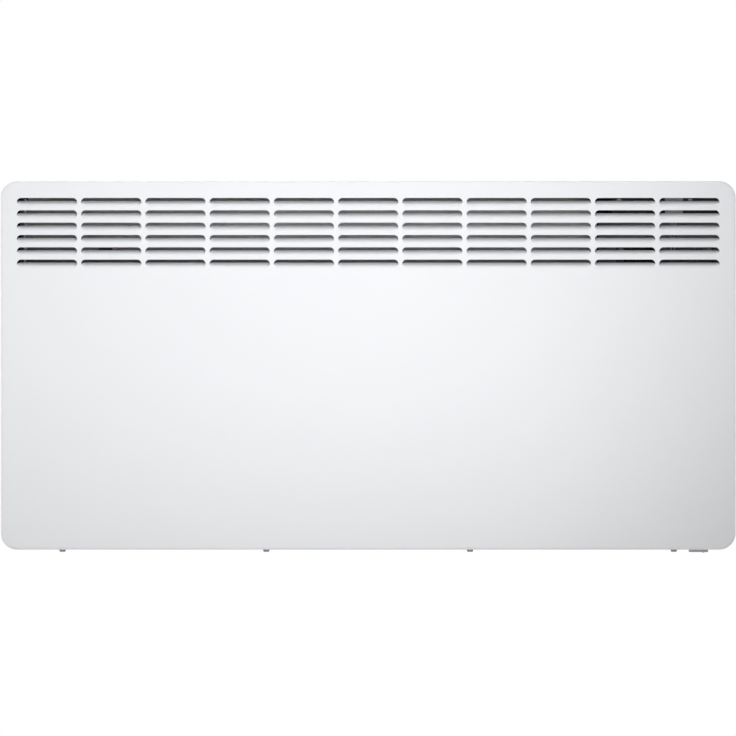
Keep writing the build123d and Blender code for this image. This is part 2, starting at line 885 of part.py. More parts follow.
save(rear_panel, "rear_panel")

# -----------------------------------------------------------------------------------------------------------
# Base plate: the slotted air inlet, folded up against the rear panel
# -----------------------------------------------------------------------------------------------------------
with BuildPart() as base_plate:
    base_points = [
        (inner_front_y + edge_radius + fit_gap, inner_bottom_z),
        (panel_face_y, inner_bottom_z),
        (panel_face_y, inner_bottom_z + base_flange),
    ]
    add(folded_sheet(cross_plane(-base_half_width), base_points, base_sheet, 2 * base_half_width))
    with BuildSketch(level(base_top_z)):
        with Locations(*inlet_places):
            SlotOverall(inlet_slot_length, inlet_slot_width, rotation=90)
    extrude(amount=-base_sheet, mode=Mode.SUBTRACT)
    drill(level(base_top_z), casing_screw_places, screw_diameter + 2 * pilot_clearance, base_sheet)
    blocks(
        level(base_top_z),
        [(rocker_x, rocker_y)],
        switch_body_length + 2 * switch_cut_gap,
        switch_body_width + 2 * switch_cut_gap,
        -base_sheet,
        mode=Mode.SUBTRACT,
    )
    drill(upright_plane(panel_face_y - base_sheet), base_rivets, rivet_hole, base_sheet)
save(base_plate, "base_plate")

# -----------------------------------------------------------------------------------------------------------
# Wall bracket: two uprights with lanced hooks, joined by two rails
# -----------------------------------------------------------------------------------------------------------
web_face_x = bracket_web_x - bracket_sheet
rail_levels = (-rail_pitch / 2, rail_pitch / 2)
rail_rivet_places = [
    (-rail_rivet_depth, rail_z + side * rail_rivet_pitch / 2) for rail_z in rail_levels for side in (-1, 1)
]

with BuildPart() as upright_right:
    upright_points = [
        (bracket_web_x + bracket_foot_width, 0),
        (web_face_x, 0),
        (web_face_x, bracket_face_back_y),
        (bracket_web_x - bracket_face_width, bracket_face_back_y),
    ]
    upright_height = bracket_top_z - bracket_bottom_z
    foot_plane = level(bracket_bottom_z)
    add(folded_sheet(foot_plane, upright_points, bracket_sheet, upright_height, bend=bracket_bend))
    with BuildSketch(upright_plane(0)):
        with Locations(*[(wall_slot_x, side * wall_slot_pitch_z / 2) for side in (-1, 1)]):
            SlotOverall(wall_slot_length, wall_slot_width)
    extrude(amount=bracket_sheet, mode=Mode.SUBTRACT)
    blocks(
        upright_plane(bracket_face_back_y),
        [(hook_x, height - bracket_sheet + hook_window_height / 2) for height in hook_levels],
        hook_width + 2 * hook_relief,
        hook_window_height,
        bracket_sheet,
        mode=Mode.SUBTRACT,
    )
    for height in hook_levels:
        hook_points = [
            (bracket_face_back_y, height - bracket_sheet),
            (hook_nose_y, height - bracket_sheet),
            (hook_nose_y, height + hook_nose_height),
        ]
        hook_plane = cross_plane(hook_x - hook_width / 2)
        add(folded_sheet(hook_plane, hook_points, bracket_sheet, hook_width, Side.RIGHT, bracket_bend))
    drill(cross_plane(bracket_web_x), rail_rivet_places, rivet_hole, bracket_sheet)
save(upright_right, "upright_right")

with BuildPart() as upright_left:
    add(mirror(upright_right.part, about=Plane.YZ))
save(upright_left, "upright_left")

with BuildPart() as rails:
    for rail_z in rail_levels:
        rail_points = [(-web_face_x, -rail_tab), (-web_face_x, 0), (web_face_x, 0), (web_face_x, -rail_tab)]
        rail_plane = level(rail_z - rail_height / 2)
        add(folded_sheet(rail_plane, rail_points, rail_sheet, rail_height, Side.RIGHT, rail_bend))
    drill(cross_plane(web_face_x), rail_rivet_places, rivet_hole, rail_sheet)
    drill(cross_plane(-web_face_x + rail_sheet), rail_rivet_places, rivet_hole, rail_sheet)
save(rails, "rails")

with BuildPart() as rail_rivets:
    rail_rivet_row = rivets(cross_plane(bracket_web_x), rail_rivet_places, bracket_sheet + rail_sheet)
    add(rail_rivet_row)
    add(mirror(rail_rivet_row, about=Plane.YZ))
save(rail_rivets, "rail_rivets")

with BuildPart() as wall_buffers:
    discs(upright_plane(bracket_face_y), buffer_places, buffer_diameter, bracket_face_y - rear_y - buffer_gap)
save(wall_buffers, "wall_buffers")

# -----------------------------------------------------------------------------------------------------------
# Turning locks: flat levers on pivots behind the rear panel
# -----------------------------------------------------------------------------------------------------------
with BuildPart() as lock_lever_right:
    with BuildSketch(upright_plane(lock_face_y)):
        with Locations((lock_pivot_x, lock_pivot_z)):
            Circle(lock_hub_diameter / 2)
        nose_run = lock_nose_reach - lock_nose_width / 2
        with Locations((lock_pivot_x + nose_run / 2, lock_pivot_z)):
            SlotCenterToCenter(nose_run, lock_nose_width)
        handle_run = lock_handle_length - lock_handle_width / 2
        with Locations((lock_pivot_x, lock_pivot_z - handle_run / 2)):
            SlotCenterToCenter(handle_run, lock_handle_width, rotation=90)
        with Locations((lock_pivot_x, lock_pivot_z)):
            Circle(lock_pivot_diameter / 2 + lock_running_clearance, mode=Mode.SUBTRACT)
    extrude(amount=lock_thickness)
    blocks(
        upright_plane(lock_face_y),
        [(lock_pivot_x, lock_pivot_z - lock_handle_length + lock_tab_inset)],
        lock_tab_width,
        lock_tab_thickness,
        -lock_tab_length,
    )
save(lock_lever_right, "lock_lever_right")

with BuildPart() as lock_lever_left:
    add(mirror(lock_lever_right.part, about=Plane.YZ))
save(lock_lever_left, "lock_lever_left")

with BuildPart() as lock_pivots:
    spacer_rear_y = lock_face_y - lock_thickness - lock_side_gap
    head_front_y = lock_face_y + lock_side_gap
    discs(upright_plane(spacer_rear_y), lock_places, lock_spacer_diameter, spacer_rear_y - rear_y)
    discs(upright_plane(head_front_y), lock_places, lock_pivot_diameter, head_front_y - spacer_rear_y)
    discs(upright_plane(head_front_y), lock_places, lock_head_diameter, -lock_head_height)
    discs(upright_plane(rear_y), lock_places, lock_stem_diameter, rear_sheet)
    discs(upright_plane(panel_face_y), lock_places, lock_spacer_diameter, rivet_head_height)
save(lock_pivots, "lock_pivots")

# -----------------------------------------------------------------------------------------------------------
# Air duct: two side walls, a rear shield that throws the air forwards, and a front shield
# -----------------------------------------------------------------------------------------------------------
with BuildPart() as duct_wall_right:
    wall_points = [
        (duct_right_x + duct_flange, panel_face_y),
        (duct_right_x, panel_face_y),
        (duct_right_x, duct_front_y),
        (duct_right_x + duct_flange, duct_front_y),
    ]
    add(folded_sheet(level(duct_bottom_z), wall_points, duct_sheet, duct_top_z - duct_bottom_z))
    blocks(
        level(duct_flange_top_z),
        [(duct_wall_face_x + duct_flange / 2, duct_front_y)],
        duct_flange,
        cut_reach,
        duct_top_z - duct_flange_top_z,
        mode=Mode.SUBTRACT,
    )
    drill(upright_plane(panel_face_y - duct_sheet), duct_rivets_rear, rivet_hole, duct_sheet)
    drill(upright_plane(duct_front_y), duct_rivets_front, rivet_hole, duct_sheet)
    outer_face = cross_plane(duct_wall_face_x)
    drill(outer_face, element_legs, wall_hole_diameter, duct_sheet)
    drill(outer_face, cutout_places, cutout_cap_diameter + 2 * fit_gap, duct_sheet)
    drill(outer_face, element_flange_screws + cutout_screws, screw_hole, duct_sheet)
save(duct_wall_right, "duct_wall_right")

with BuildPart() as duct_wall_left:
    wall_points = [
        (duct_left_x - duct_flange, panel_face_y),
        (duct_left_x, panel_face_y),
        (duct_left_x, duct_front_y),
        (duct_left_x - duct_flange, duct_front_y),
    ]
    add(folded_sheet(level(duct_bottom_z), wall_points, duct_sheet, duct_top_z - duct_bottom_z, Side.RIGHT))
    blocks(
        level(duct_flange_top_z),
        [(duct_left_x - duct_sheet - duct_flange / 2, duct_front_y)],
        duct_flange,
        cut_reach,
        duct_top_z - duct_flange_top_z,
        mode=Mode.SUBTRACT,
    )
    drill(upright_plane(panel_face_y - duct_sheet), duct_rivets_rear, rivet_hole, duct_sheet)
    drill(upright_plane(duct_front_y), duct_rivets_front, rivet_hole, duct_sheet)
save(duct_wall_left, "duct_wall_left")

with BuildPart() as rear_shield:
    shield_points = [
        (panel_face_y, duct_bottom_z),
        (panel_face_y, duct_bottom_z + rear_shield_foot),
        (rear_shield_y, duct_bottom_z + rear_shield_foot),
        (rear_shield_y, top_z - deflector_start_drop),
        (deflector_top_y, top_z - deflector_top_drop),
        (deflector_top_y, top_z - deflector_top_drop + deflector_lip),
    ]
    shield_left_x = duct_left_x + shield_side_gap
    shield_width = duct_right_x - duct_left_x - 2 * shield_side_gap
    add(folded_sheet(cross_plane(shield_left_x), shield_points, shield_sheet, shield_width))
    drill(upright_plane(panel_face_y - shield_sheet), foot_rivets, rivet_hole, shield_sheet)
    drill(upright_plane(shield_front_y), shield_screw_places, screw_hole, shield_sheet)
    with BuildSketch(upright_plane(rear_shield_y)):
        with Locations((shield_screw_places[0][0] - shield_slot_shift, shield_screw_places[0][1])):
            SlotOverall(shield_slot_length, shield_slot_height)
    extrude(amount=shield_sheet, mode=Mode.SUBTRACT)
save(rear_shield, "rear_shield")

with BuildPart() as front_shield:
    shield_points = [
        (duct_front_y - front_shield_lip, front_shield_bottom_z - front_shield_lip_height),
        (duct_front_y, front_shield_bottom_z),
        (duct_front_y, front_shield_top_z),
        (duct_front_y - front_shield_lip, front_shield_top_z + front_shield_lip_height),
    ]
    front_shield_width = duct_right_x - duct_left_x + 2 * duct_flange
    add(folded_sheet(cross_plane(duct_left_x - duct_flange), shield_points, shield_sheet, front_shield_width))
    drill(upright_plane(duct_front_y - shield_sheet), duct_rivets_front, rivet_hole, shield_sheet)
save(front_shield, "front_shield")

with BuildPart() as heater_rivets:
    add(rivets(upright_plane(panel_face_y - duct_sheet), duct_rivets_rear, duct_sheet + rear_sheet))
    add(rivets(upright_plane(panel_face_y - base_sheet), base_rivets, base_sheet + rear_sheet))
    add(rivets(upright_plane(panel_face_y - shield_sheet), foot_rivets, shield_sheet + rear_sheet))
    add(rivets(upright_plane(duct_front_y - shield_sheet), duct_rivets_front, duct_sheet + shield_sheet))
save(heater_rivets, "heater_rivets")

# -----------------------------------------------------------------------------------------------------------
# Finned heating element
# -----------------------------------------------------------------------------------------------------------
with BuildPart() as element_tube:
    with BuildLine() as tube_route:
        Line((tube_end_x, element_y, upper_leg_z), (element_left_x, element_y, upper_leg_z))
        ThreePointArc(
            (element_left_x, element_y, upper_leg_z),
            (element_left_x - element_leg_pitch / 2, element_y, element_z),
            (element_left_x, element_y, lower_leg_z),
        )
        Line((element_left_x, element_y, lower_leg_z), (tube_end_x, element_y, lower_leg_z))
    with BuildSketch(Plane(tube_route.line @ 0, z_dir=tube_route.line % 0)):
        Circle(element_tube_diameter / 2)
    sweep(path=tube_route.line)
save(element_tube, "element_tube")

with BuildPart() as fin:
    with BuildSketch(Plane.YZ):
        with Locations((element_y, element_z)):
            RectangleRounded(fin_depth, fin_height, fin_corner)
        with Locations(*element_legs):
            Circle(tube_hole / 2, mode=Mode.SUBTRACT)
    extrude(amount=fin_sheet)

with BuildPart() as element_fins:
    fin_places = [
        (centre + (i - (fins_per_bank - 1) / 2) * fin_pitch, 0, 0)
        for centre in fin_bank_centres
        for i in range(fins_per_bank)
    ]
    with Locations(*fin_places):
        add(fin.part)
save(element_fins, "element_fins")

with BuildPart() as element_supports:
    for support_x in support_places:
        support_points = [
            (support_x + support_foot, shield_front_y),
            (support_x, shield_front_y),
            (support_x, shield_front_y - support_depth),
        ]
        support_plane = level(element_z - support_height / 2)
        add(folded_sheet(support_plane, support_points, support_sheet, support_height))
        support_face = cross_plane(support_x + support_sheet)
        drill(support_face, element_legs, bush_diameter + 2 * bush_clearance, support_sheet)
save(element_supports, "element_supports")

with BuildPart() as element_bushes:
    for support_x in support_places:
        collar = cross_plane(support_x + support_sheet)
        discs(collar, element_legs, bush_collar_diameter, bush_collar_length)
        discs(collar, element_legs, bush_diameter, bush_collar_length - bush_length)
        drill(collar.offset(bush_collar_length), element_legs, tube_hole, bush_length)
save(element_bushes, "element_bushes")

with BuildPart() as element_flange:
    blocks(
        cross_plane(duct_wall_face_x),
        [(element_y, element_z)],
        element_flange_width,
        element_flange_height,
        element_flange_sheet,
        corner=fin_corner,
    )
    element_flange_face = cross_plane(duct_wall_face_x + element_flange_sheet)
    drill(element_flange_face, element_legs, tube_hole, element_flange_sheet)
    drill(element_flange_face, element_flange_screws, screw_hole, element_flange_sheet)
save(element_flange, "element_flange")

with BuildPart() as element_seals:
    discs(cross_plane(tube_end_x), element_legs, seal_diameter, seal_length)
save(element_seals, "element_seals")

with BuildPart() as element_pins:
    discs(cross_plane(seal_end_x), element_legs, pin_diameter, pin_length)
save(element_pins, "element_pins")

# -----------------------------------------------------------------------------------------------------------
# Overheat cut-outs
# -----------------------------------------------------------------------------------------------------------
with BuildPart() as cutout_plates:
    blocks(outer_face, cutout_places, cutout_plate_width, cutout_plate_height, cutout_plate_sheet, fin_corner)
    discs(outer_face, cutout_places, cutout_cap_diameter, -duct_sheet - cutout_cap_reach)
    drill(cross_plane(cutout_body_x), cutout_screws, screw_hole, cutout_plate_sheet)
save(cutout_plates, "cutout_plates")

with BuildPart() as cutout_bodies:
    discs(cross_plane(cutout_body_x), cutout_places, cutout_body_diameter, cutout_body_length)
save(cutout_bodies, "cutout_bodies")

with BuildPart() as cutout_spades:
    blocks(cross_plane(cutout_spade_x), cutout_spades_at, cutout_spade_width, spade_thickness, spade_length)
save(cutout_spades, "cutout_spades")

# -----------------------------------------------------------------------------------------------------------
# Power board on stand-offs
# -----------------------------------------------------------------------------------------------------------
board_face = upright_plane(board_face_y)

with BuildPart() as power_board:
    blocks(upright_plane(board_back_y), [(board_x, board_z)], board_width, board_height, board_thickness)
    drill(board_face, board_screws, screw_hole, board_thickness)
save(power_board, "power_board")

with BuildPart() as stand_offs:
    discs(upright_plane(panel_face_y), board_screws, stand_off_diameter, board_stand_off)
    drill(upright_plane(board_back_y), board_screws, screw_hole, board_stand_off)
    discs(upright_plane(panel_face_y), shield_screw_places, shield_spacer_diameter, rear_shield_stand_off)
    drill(upright_plane(rear_shield_y), shield_screw_places, screw_hole, rear_shield_stand_off)
save(stand_offs, "stand_offs")

with BuildPart() as relays:
    blocks(board_face, relay_places, relay_width, relay_height, relay_depth, corner=component_corner)
save(relays, "relays")

with BuildPart() as transformer:
    blocks(board_face, transformer_place, bobbin_width, bobbin_height, bobbin_depth)
    core_plane = board_face.offset((bobbin_depth - core_depth) / 2)
    blocks(core_plane, transformer_place, core_width, core_height, core_depth)
save(transformer, "transformer")

with BuildPart() as capacitors:
    discs(board_face, capacitor_places, capacitor_diameter, capacitor_length)
    blocks(board_face, filter_place, filter_width, filter_height, filter_depth, corner=component_corner)
save(capacitors, "capacitors")

with BuildPart() as heat_sink:
    blocks(board_face, [(heat_sink_x, heat_sink_z)], heat_sink_width, heat_sink_height, heat_sink_base)
    fin_step = (heat_sink_width - heat_sink_fin) / (heat_sink_fins - 1)
    heat_fin_places = [
        (heat_sink_x + (i - (heat_sink_fins - 1) / 2) * fin_step, heat_sink_z) for i in range(heat_sink_fins)
    ]
    blocks(board_face, heat_fin_places, heat_sink_fin, heat_sink_height, heat_sink_depth)
save(heat_sink, "heat_sink")

with BuildPart() as board_terminal:
    blocks(board_face, [(terminal_x, terminal_z)], terminal_width, terminal_height, terminal_depth)
    terminal_holes = [(x, terminal_z) for x in terminal_x_places]
    drill(board_face.offset(terminal_depth), terminal_holes, terminal_screw_hole, terminal_screw_depth)
save(board_terminal, "board_terminal")

# -----------------------------------------------------------------------------------------------------------
# Control unit in the casing's top wall
# -----------------------------------------------------------------------------------------------------------
button_places = [(x, panel_y) for x in button_x_places]

with BuildPart() as control_fascia:
    panel_plane = level(panel_under_z)
    blocks(panel_plane, [(panel_x, panel_y)], panel_length, panel_width, panel_thickness, panel_corner)
    blocks(
        panel_plane,
        [(panel_x, panel_y)],
        panel_length + 2 * panel_rim,
        panel_width + 2 * panel_rim,
        panel_rim_thickness,
        corner=panel_corner,
    )
    blocks(
        level(window_under_z),
        [(window_centre_x, panel_y)],
        window_length,
        window_width,
        window_thickness,
        mode=Mode.SUBTRACT,
    )
    blocks(
        level(panel_under_z),
        [(window_centre_x, panel_y)],
        window_length - 2 * window_ledge,
        window_width - 2 * window_ledge,
        panel_thickness,
        mode=Mode.SUBTRACT,
    )
    blocks(
        level(panel_under_z),
        button_places,
        button_length + 2 * button_gap,
        button_width + 2 * button_gap,
        panel_thickness,
        corner=button_corner + button_gap,
        mode=Mode.SUBTRACT,
    )
save(control_fascia, "control_fascia")

with BuildPart() as display_window:
    blocks(
        level(window_under_z),
        [(window_centre_x, panel_y)],
        window_length - 2 * window_gap,
        window_width - 2 * window_gap,
        window_thickness,
    )
save(display_window, "display_window")

with BuildPart() as display_module:
    blocks(
        level(control_board_z),
        [(window_centre_x, panel_y)],
        display_length,
        display_width,
        control_board_drop,
        corner=component_corner,
    )
save(display_module, "display_module")

with BuildPart() as control_board:
    blocks(
        level(control_board_z - control_board_thickness),
        [(panel_x, panel_y)],
        control_board_length,
        control_board_width,
        control_board_thickness,
    )
save(control_board, "control_board")

with BuildPart() as key_switches:
    blocks(level(control_board_z), button_places, key_switch_size, key_switch_size, key_switch_height)
    discs(level(control_board_z + key_switch_height), button_places, key_plunger_diameter, key_plunger_height)
save(key_switches, "key_switches")

stem_under_z = control_board_z + key_switch_height + key_plunger_height + button_travel + rest_gap

for button_name, button_x in zip(button_names, button_x_places):
    with BuildPart() as button:
        blocks(
            level(panel_under_z),
            [(button_x, panel_y)],
            button_length,
            button_width,
            panel_thickness + button_proud,
            corner=button_corner,
        )
        chamfer(button.faces().sort_by(Axis.Z)[-1].edges(), button_proud)
        blocks(
            level(panel_under_z),
            [(button_x, panel_y)],
            button_length + 2 * button_skirt,
            button_width + 2 * button_skirt,
            -button_skirt_thickness,
            corner=button_corner,
        )
        discs(level(stem_under_z), [(button_x, panel_y)], button_stem_diameter, panel_under_z - stem_under_z)
    save(button, button_name)

with BuildPart() as control_housing:
    blocks(level(housing_floor_z), [(housing_x, panel_y)], housing_length, housing_width, housing_depth)
    blocks(
        level(housing_floor_z + housing_wall),
        [(housing_x, panel_y)],
        housing_length - 2 * housing_wall,
        housing_width - 2 * housing_wall,
        housing_depth,
        mode=Mode.SUBTRACT,
    )
    post_places = [
        (
            panel_x + side * (control_board_length / 2 - control_board_post_inset),
            panel_y + end * (control_board_width / 2 - control_board_post_inset),
        )
        for side in (-1, 1)
        for end in (-1, 1)
    ]
    post_height = control_board_z - control_board_thickness - housing_floor_z
    discs(level(housing_floor_z), post_places, control_board_post, post_height)
    housing_face = upright_plane(housing_front_y)
    discs(housing_face, housing_bosses, housing_boss_diameter, -housing_boss_length)
    drill(housing_face, housing_bosses, screw_hole, housing_boss_length)
    blocks(
        housing_face,
        [(ribbon_x, ribbon_top_z - ribbon_thickness / 2)],
        ribbon_width + 2 * ribbon_gap,
        ribbon_thickness + 2 * ribbon_gap,
        -housing_wall,
        mode=Mode.SUBTRACT,
    )
save(control_housing, "control_housing")

# -----------------------------------------------------------------------------------------------------------
# Rocker switch in the base plate
# -----------------------------------------------------------------------------------------------------------
switch_place = [(rocker_x, rocker_y)]

with BuildPart() as switch_body:
    blocks(level(inner_bottom_z), switch_place, switch_body_length, switch_body_width, switch_body_height)
    blocks(level(inner_bottom_z), switch_place, bezel_length, bezel_width, -bezel_height, corner=bezel_corner)
    blocks(
        level(inner_bottom_z - bezel_height),
        switch_place,
        2 * (rocker_radius + rocker_gap),
        rocker_width + 2 * rocker_gap,
        bezel_height - rocker_pivot_drop + rocker_cavity_top,
        mode=Mode.SUBTRACT,
    )
    pin_half = rocker_width / 2 + rocker_pin_length + rocker_pin_clearance
    drill(
        upright_plane(rocker_y - pin_half),
        [(rocker_x, rocker_pivot_z)],
        rocker_pin_diameter + 2 * rocker_pin_clearance,
        2 * pin_half,
    )
save(switch_body, "switch_body")

with BuildPart() as switch_rocker:
    tilted = Vector(1, 0, 0).rotate(Axis.Y, rocker_tilt)
    rocker_plane = Plane(origin=(rocker_x, rocker_y, rocker_pivot_z), x_dir=tilted, z_dir=(0, -1, 0))
    rocker_outline = [
        (-rocker_radius, rocker_top),
        (rocker_radius, rocker_top),
        (rocker_radius, -rocker_end_depth),
        (0, -rocker_centre_depth),
        (-rocker_radius, -rocker_end_depth),
    ]
    with BuildSketch(rocker_plane):
        Circle(rocker_radius)
        Polygon(*rocker_outline, align=None, mode=Mode.INTERSECT)
    extrude(amount=rocker_width / 2, both=True)
    with BuildSketch(rocker_plane):
        Circle(rocker_pin_diameter / 2)
    extrude(amount=rocker_width / 2 + rocker_pin_length, both=True)
save(switch_rocker, "switch_rocker")

with BuildPart() as switch_spades:
    switch_spade_places = [(rocker_x + side * switch_spade_pitch / 2, rocker_y) for side in (-1, 1)]
    blocks(level(switch_top_z), switch_spade_places, spade_thickness, switch_spade_width, spade_length)
save(switch_spades, "switch_spades")

with BuildPart() as room_sensor:
    discs(level(base_top_z), [(sensor_x, sensor_y)], sensor_diameter, sensor_height)
    foot_place = [(sensor_x - sensor_diameter, sensor_y)]
    blocks(level(base_top_z), foot_place, sensor_foot_length, sensor_foot_width, sensor_foot_thickness)
save(room_sensor, "room_sensor")

# -----------------------------------------------------------------------------------------------------------
# Mains connection: a shallow box on the back, with a gland that points down
# -----------------------------------------------------------------------------------------------------------
with BuildPart() as connection_box:
    with BuildSketch(upright_plane(rear_y)):
        with Locations((box_x, box_z)):
            RectangleRounded(box_width, box_height, box_corner)
            RectangleRounded(
                box_width - 2 * box_wall, box_height - 2 * box_wall, box_corner - box_wall, mode=Mode.SUBTRACT
            )
    extrude(amount=-box_depth)
    blocks(upright_plane(box_rear_y), [(box_x, box_z)], box_width, box_height, box_wall, box_corner)
    ear_blocks = [(x + box_wall / 2, z) for x, z in box_ears_left]
    ear_blocks += [(x - box_wall / 2, z) for x, z in box_ears_right]
    blocks(upright_plane(rear_y), ear_blocks, box_ear_width + box_wall, box_ear_height, -box_ear_thickness)
    drill(upright_plane(rear_y), box_ear_places, screw_hole, box_ear_thickness)
    gland_place = [(gland_x, gland_y)]
    drill(level(box_bottom_z + box_wall), gland_place, gland_thread_diameter + 2 * gland_wall_gap, box_wall)
save(connection_box, "connection_box")

with BuildPart() as gland_body:
    discs(level(gland_top_z), gland_place, gland_thread_diameter, gland_thread_end_z - gland_top_z)
    with BuildSketch(level(gland_flange_z)):
        with Locations(*gland_place):
            RegularPolygon(gland_flange_diameter / 2, 6)
    extrude(amount=gland_flange_thickness)
    drill(level(gland_top_z), gland_place, gland_bore_diameter, gland_top_z - gland_thread_end_z)
save(gland_body, "gland_body")

with BuildPart() as gland_nut:
    with BuildSketch(level(box_bottom_z + box_wall)):
        with Locations(*gland_place):
            RegularPolygon(gland_flange_diameter / 2, 6)
            Circle(gland_thread_diameter / 2, mode=Mode.SUBTRACT)
    extrude(amount=gland_nut_thickness)
save(gland_nut, "gland_nut")

with BuildPart() as gland_cap:
    with BuildSketch(level(gland_cap_z)):
        with Locations(*gland_place):
            RegularPolygon(gland_cap_diameter / 2, 6)
    extrude(amount=gland_cap_length)
    drill(level(gland_flange_z), gland_place, gland_thread_diameter, gland_flange_z - gland_thread_end_z)
    drill(level(gland_flange_z), gland_place, gland_cap_bore_diameter, gland_cap_length)
save(gland_cap, "gland_cap")

with BuildPart() as grommet:
    grommet_place = [(grommet_x, grommet_z)]
    discs(upright_plane(rear_y), grommet_place, grommet_diameter, rear_sheet)
    discs(upright_plane(panel_face_y), grommet_place, grommet_lip_diameter, grommet_lip)
    discs(upright_plane(rear_y), grommet_place, grommet_lip_diameter, -grommet_lip)
    drill(
        upright_plane(panel_face_y - grommet_lip), grommet_place, grommet_bore, rear_sheet + 2 * grommet_lip
    )
save(grommet, "grommet")

with BuildPart() as terminal_strip:
    blocks(upright_plane(rear_y), [(strip_x, strip_z)], strip_width, strip_height, -strip_depth)
    strip_places = [(strip_x + side * strip_pitch, strip_z) for side in (-1, 0, 1)]
    drill(upright_plane(rear_y + strip_depth), strip_places, strip_screw_hole, -strip_screw_depth)
save(terminal_strip, "terminal_strip")

# -----------------------------------------------------------------------------------------------------------
# Screws and leads inside the heater
# -----------------------------------------------------------------------------------------------------------
with BuildPart() as inner_screws:
    panel_grip = rear_sheet + screw_tip
    wall_grip = duct_sheet + screw_tip
    add(screws(board_face, board_screws, board_thickness + board_stand_off + panel_grip))
    shield_grip = shield_sheet + rear_shield_stand_off + panel_grip
    add(screws(upright_plane(shield_front_y), shield_screw_places, shield_grip))
    add(screws(upright_plane(panel_face_y), [earth_screw_place], panel_grip))
    ear_face = upright_plane(rear_y + box_ear_thickness)
    add(screws(ear_face, box_ear_places, box_ear_thickness + panel_grip, -1))
    add(screws(element_flange_face, element_flange_screws, element_flange_sheet + wall_grip))
    add(screws(cross_plane(cutout_body_x), cutout_screws, cutout_plate_sheet + wall_grip))
    add(screws(housing_face, housing_bosses, housing_boss_length))
save(inner_screws, "inner_screws")

live_level_z = grommet_z - lead_pitch
neutral_level_z = grommet_z + lead_pitch
cutout_link_x = cutout_spade_end_x + lead_step
cutout_run_x = cutout_link_x + lead_step

with BuildPart() as live_leads:
    add(
        lead(
            (strip_x + strip_pitch, strip_lead_y, strip_top_z),
            (strip_x + strip_pitch, strip_lead_y, live_level_z),
            (grommet_x, strip_lead_y, live_level_z),
            (grommet_x, rocker_y, live_level_z),
            (grommet_x, rocker_y, switch_spade_end_z),
        )
    )
    rocker_far_x = rocker_x - switch_spade_pitch / 2
    add(
        lead(
            (rocker_far_x, rocker_y, switch_spade_end_z),
            (rocker_far_x, rocker_y, terminal_under_z - live_lead_fall),
            (terminal_x_places[5], rocker_y, terminal_under_z - live_lead_fall),
            (terminal_x_places[5], terminal_lead_y, terminal_under_z - live_lead_fall),
            (terminal_x_places[5], terminal_lead_y, terminal_under_z),
        )
    )
    add(
        lead(
            (terminal_x_places[0], terminal_lead_y, terminal_under_z),
            (terminal_x_places[0], terminal_lead_y, terminal_under_z - lead_step),
            (terminal_x_places[0], element_y, terminal_under_z - lead_step),
            (cutout_run_x, element_y, terminal_under_z - lead_step),
            (cutout_run_x, element_y, cutout_levels[0] + cutout_spade_pitch / 2),
            (cutout_spade_end_x, element_y, cutout_levels[0] + cutout_spade_pitch / 2),
        )
    )
    add(
        lead(
            (cutout_spade_end_x, element_y, cutout_levels[0] - cutout_spade_pitch / 2),
            (cutout_link_x, element_y, cutout_levels[0] - cutout_spade_pitch / 2),
            (cutout_link_x, element_y, cutout_levels[1] + cutout_spade_pitch / 2),
            (cutout_spade_end_x, element_y, cutout_levels[1] + cutout_spade_pitch / 2),
        )
    )
    add(
        lead(
            (cutout_spade_end_x, element_y, cutout_levels[1] - cutout_spade_pitch / 2),
            (pin_end_x + lead_step, element_y, cutout_levels[1] - cutout_spade_pitch / 2),
            (pin_end_x + lead_step, element_y, upper_leg_z),
            (pin_end_x, element_y, upper_leg_z),
        )
    )
save(live_leads, "live_leads")

with BuildPart() as neutral_leads:
    add(
        lead(
            (strip_x - strip_pitch, strip_lead_y, strip_top_z),
            (strip_x - strip_pitch, strip_lead_y, neutral_level_z),
            (grommet_x, strip_lead_y, neutral_level_z),
            (grommet_x, terminal_lead_y, neutral_level_z),
            (terminal_x_places[4], terminal_lead_y, neutral_level_z),
            (terminal_x_places[4], terminal_lead_y, terminal_under_z),
        )
    )
    add(
        lead(
            (terminal_x_places[1], terminal_lead_y, terminal_under_z),
            (terminal_x_places[1], terminal_lead_y, element_z + element_leg_pitch),
            (terminal_x_places[1], element_y, element_z + element_leg_pitch),
            (terminal_x_places[1], element_y, lower_leg_z),
            (pin_end_x, element_y, lower_leg_z),
        )
    )
save(neutral_leads, "neutral_leads")

with BuildPart() as earth_lead:
    earth_run_y = panel_face_y - lead_step
    add(
        lead(
            (strip_x, strip_lead_y, strip_top_z),
            (strip_x, strip_lead_y, grommet_z),
            (grommet_x, strip_lead_y, grommet_z),
            (grommet_x, earth_run_y, grommet_z),
            (earth_screw_place[0], earth_run_y, grommet_z),
            (earth_screw_place[0], earth_run_y, earth_screw_place[1]),
            (earth_screw_place[0], panel_face_y - small_head_height, earth_screw_place[1]),
        )
    )
save(earth_lead, "earth_lead")

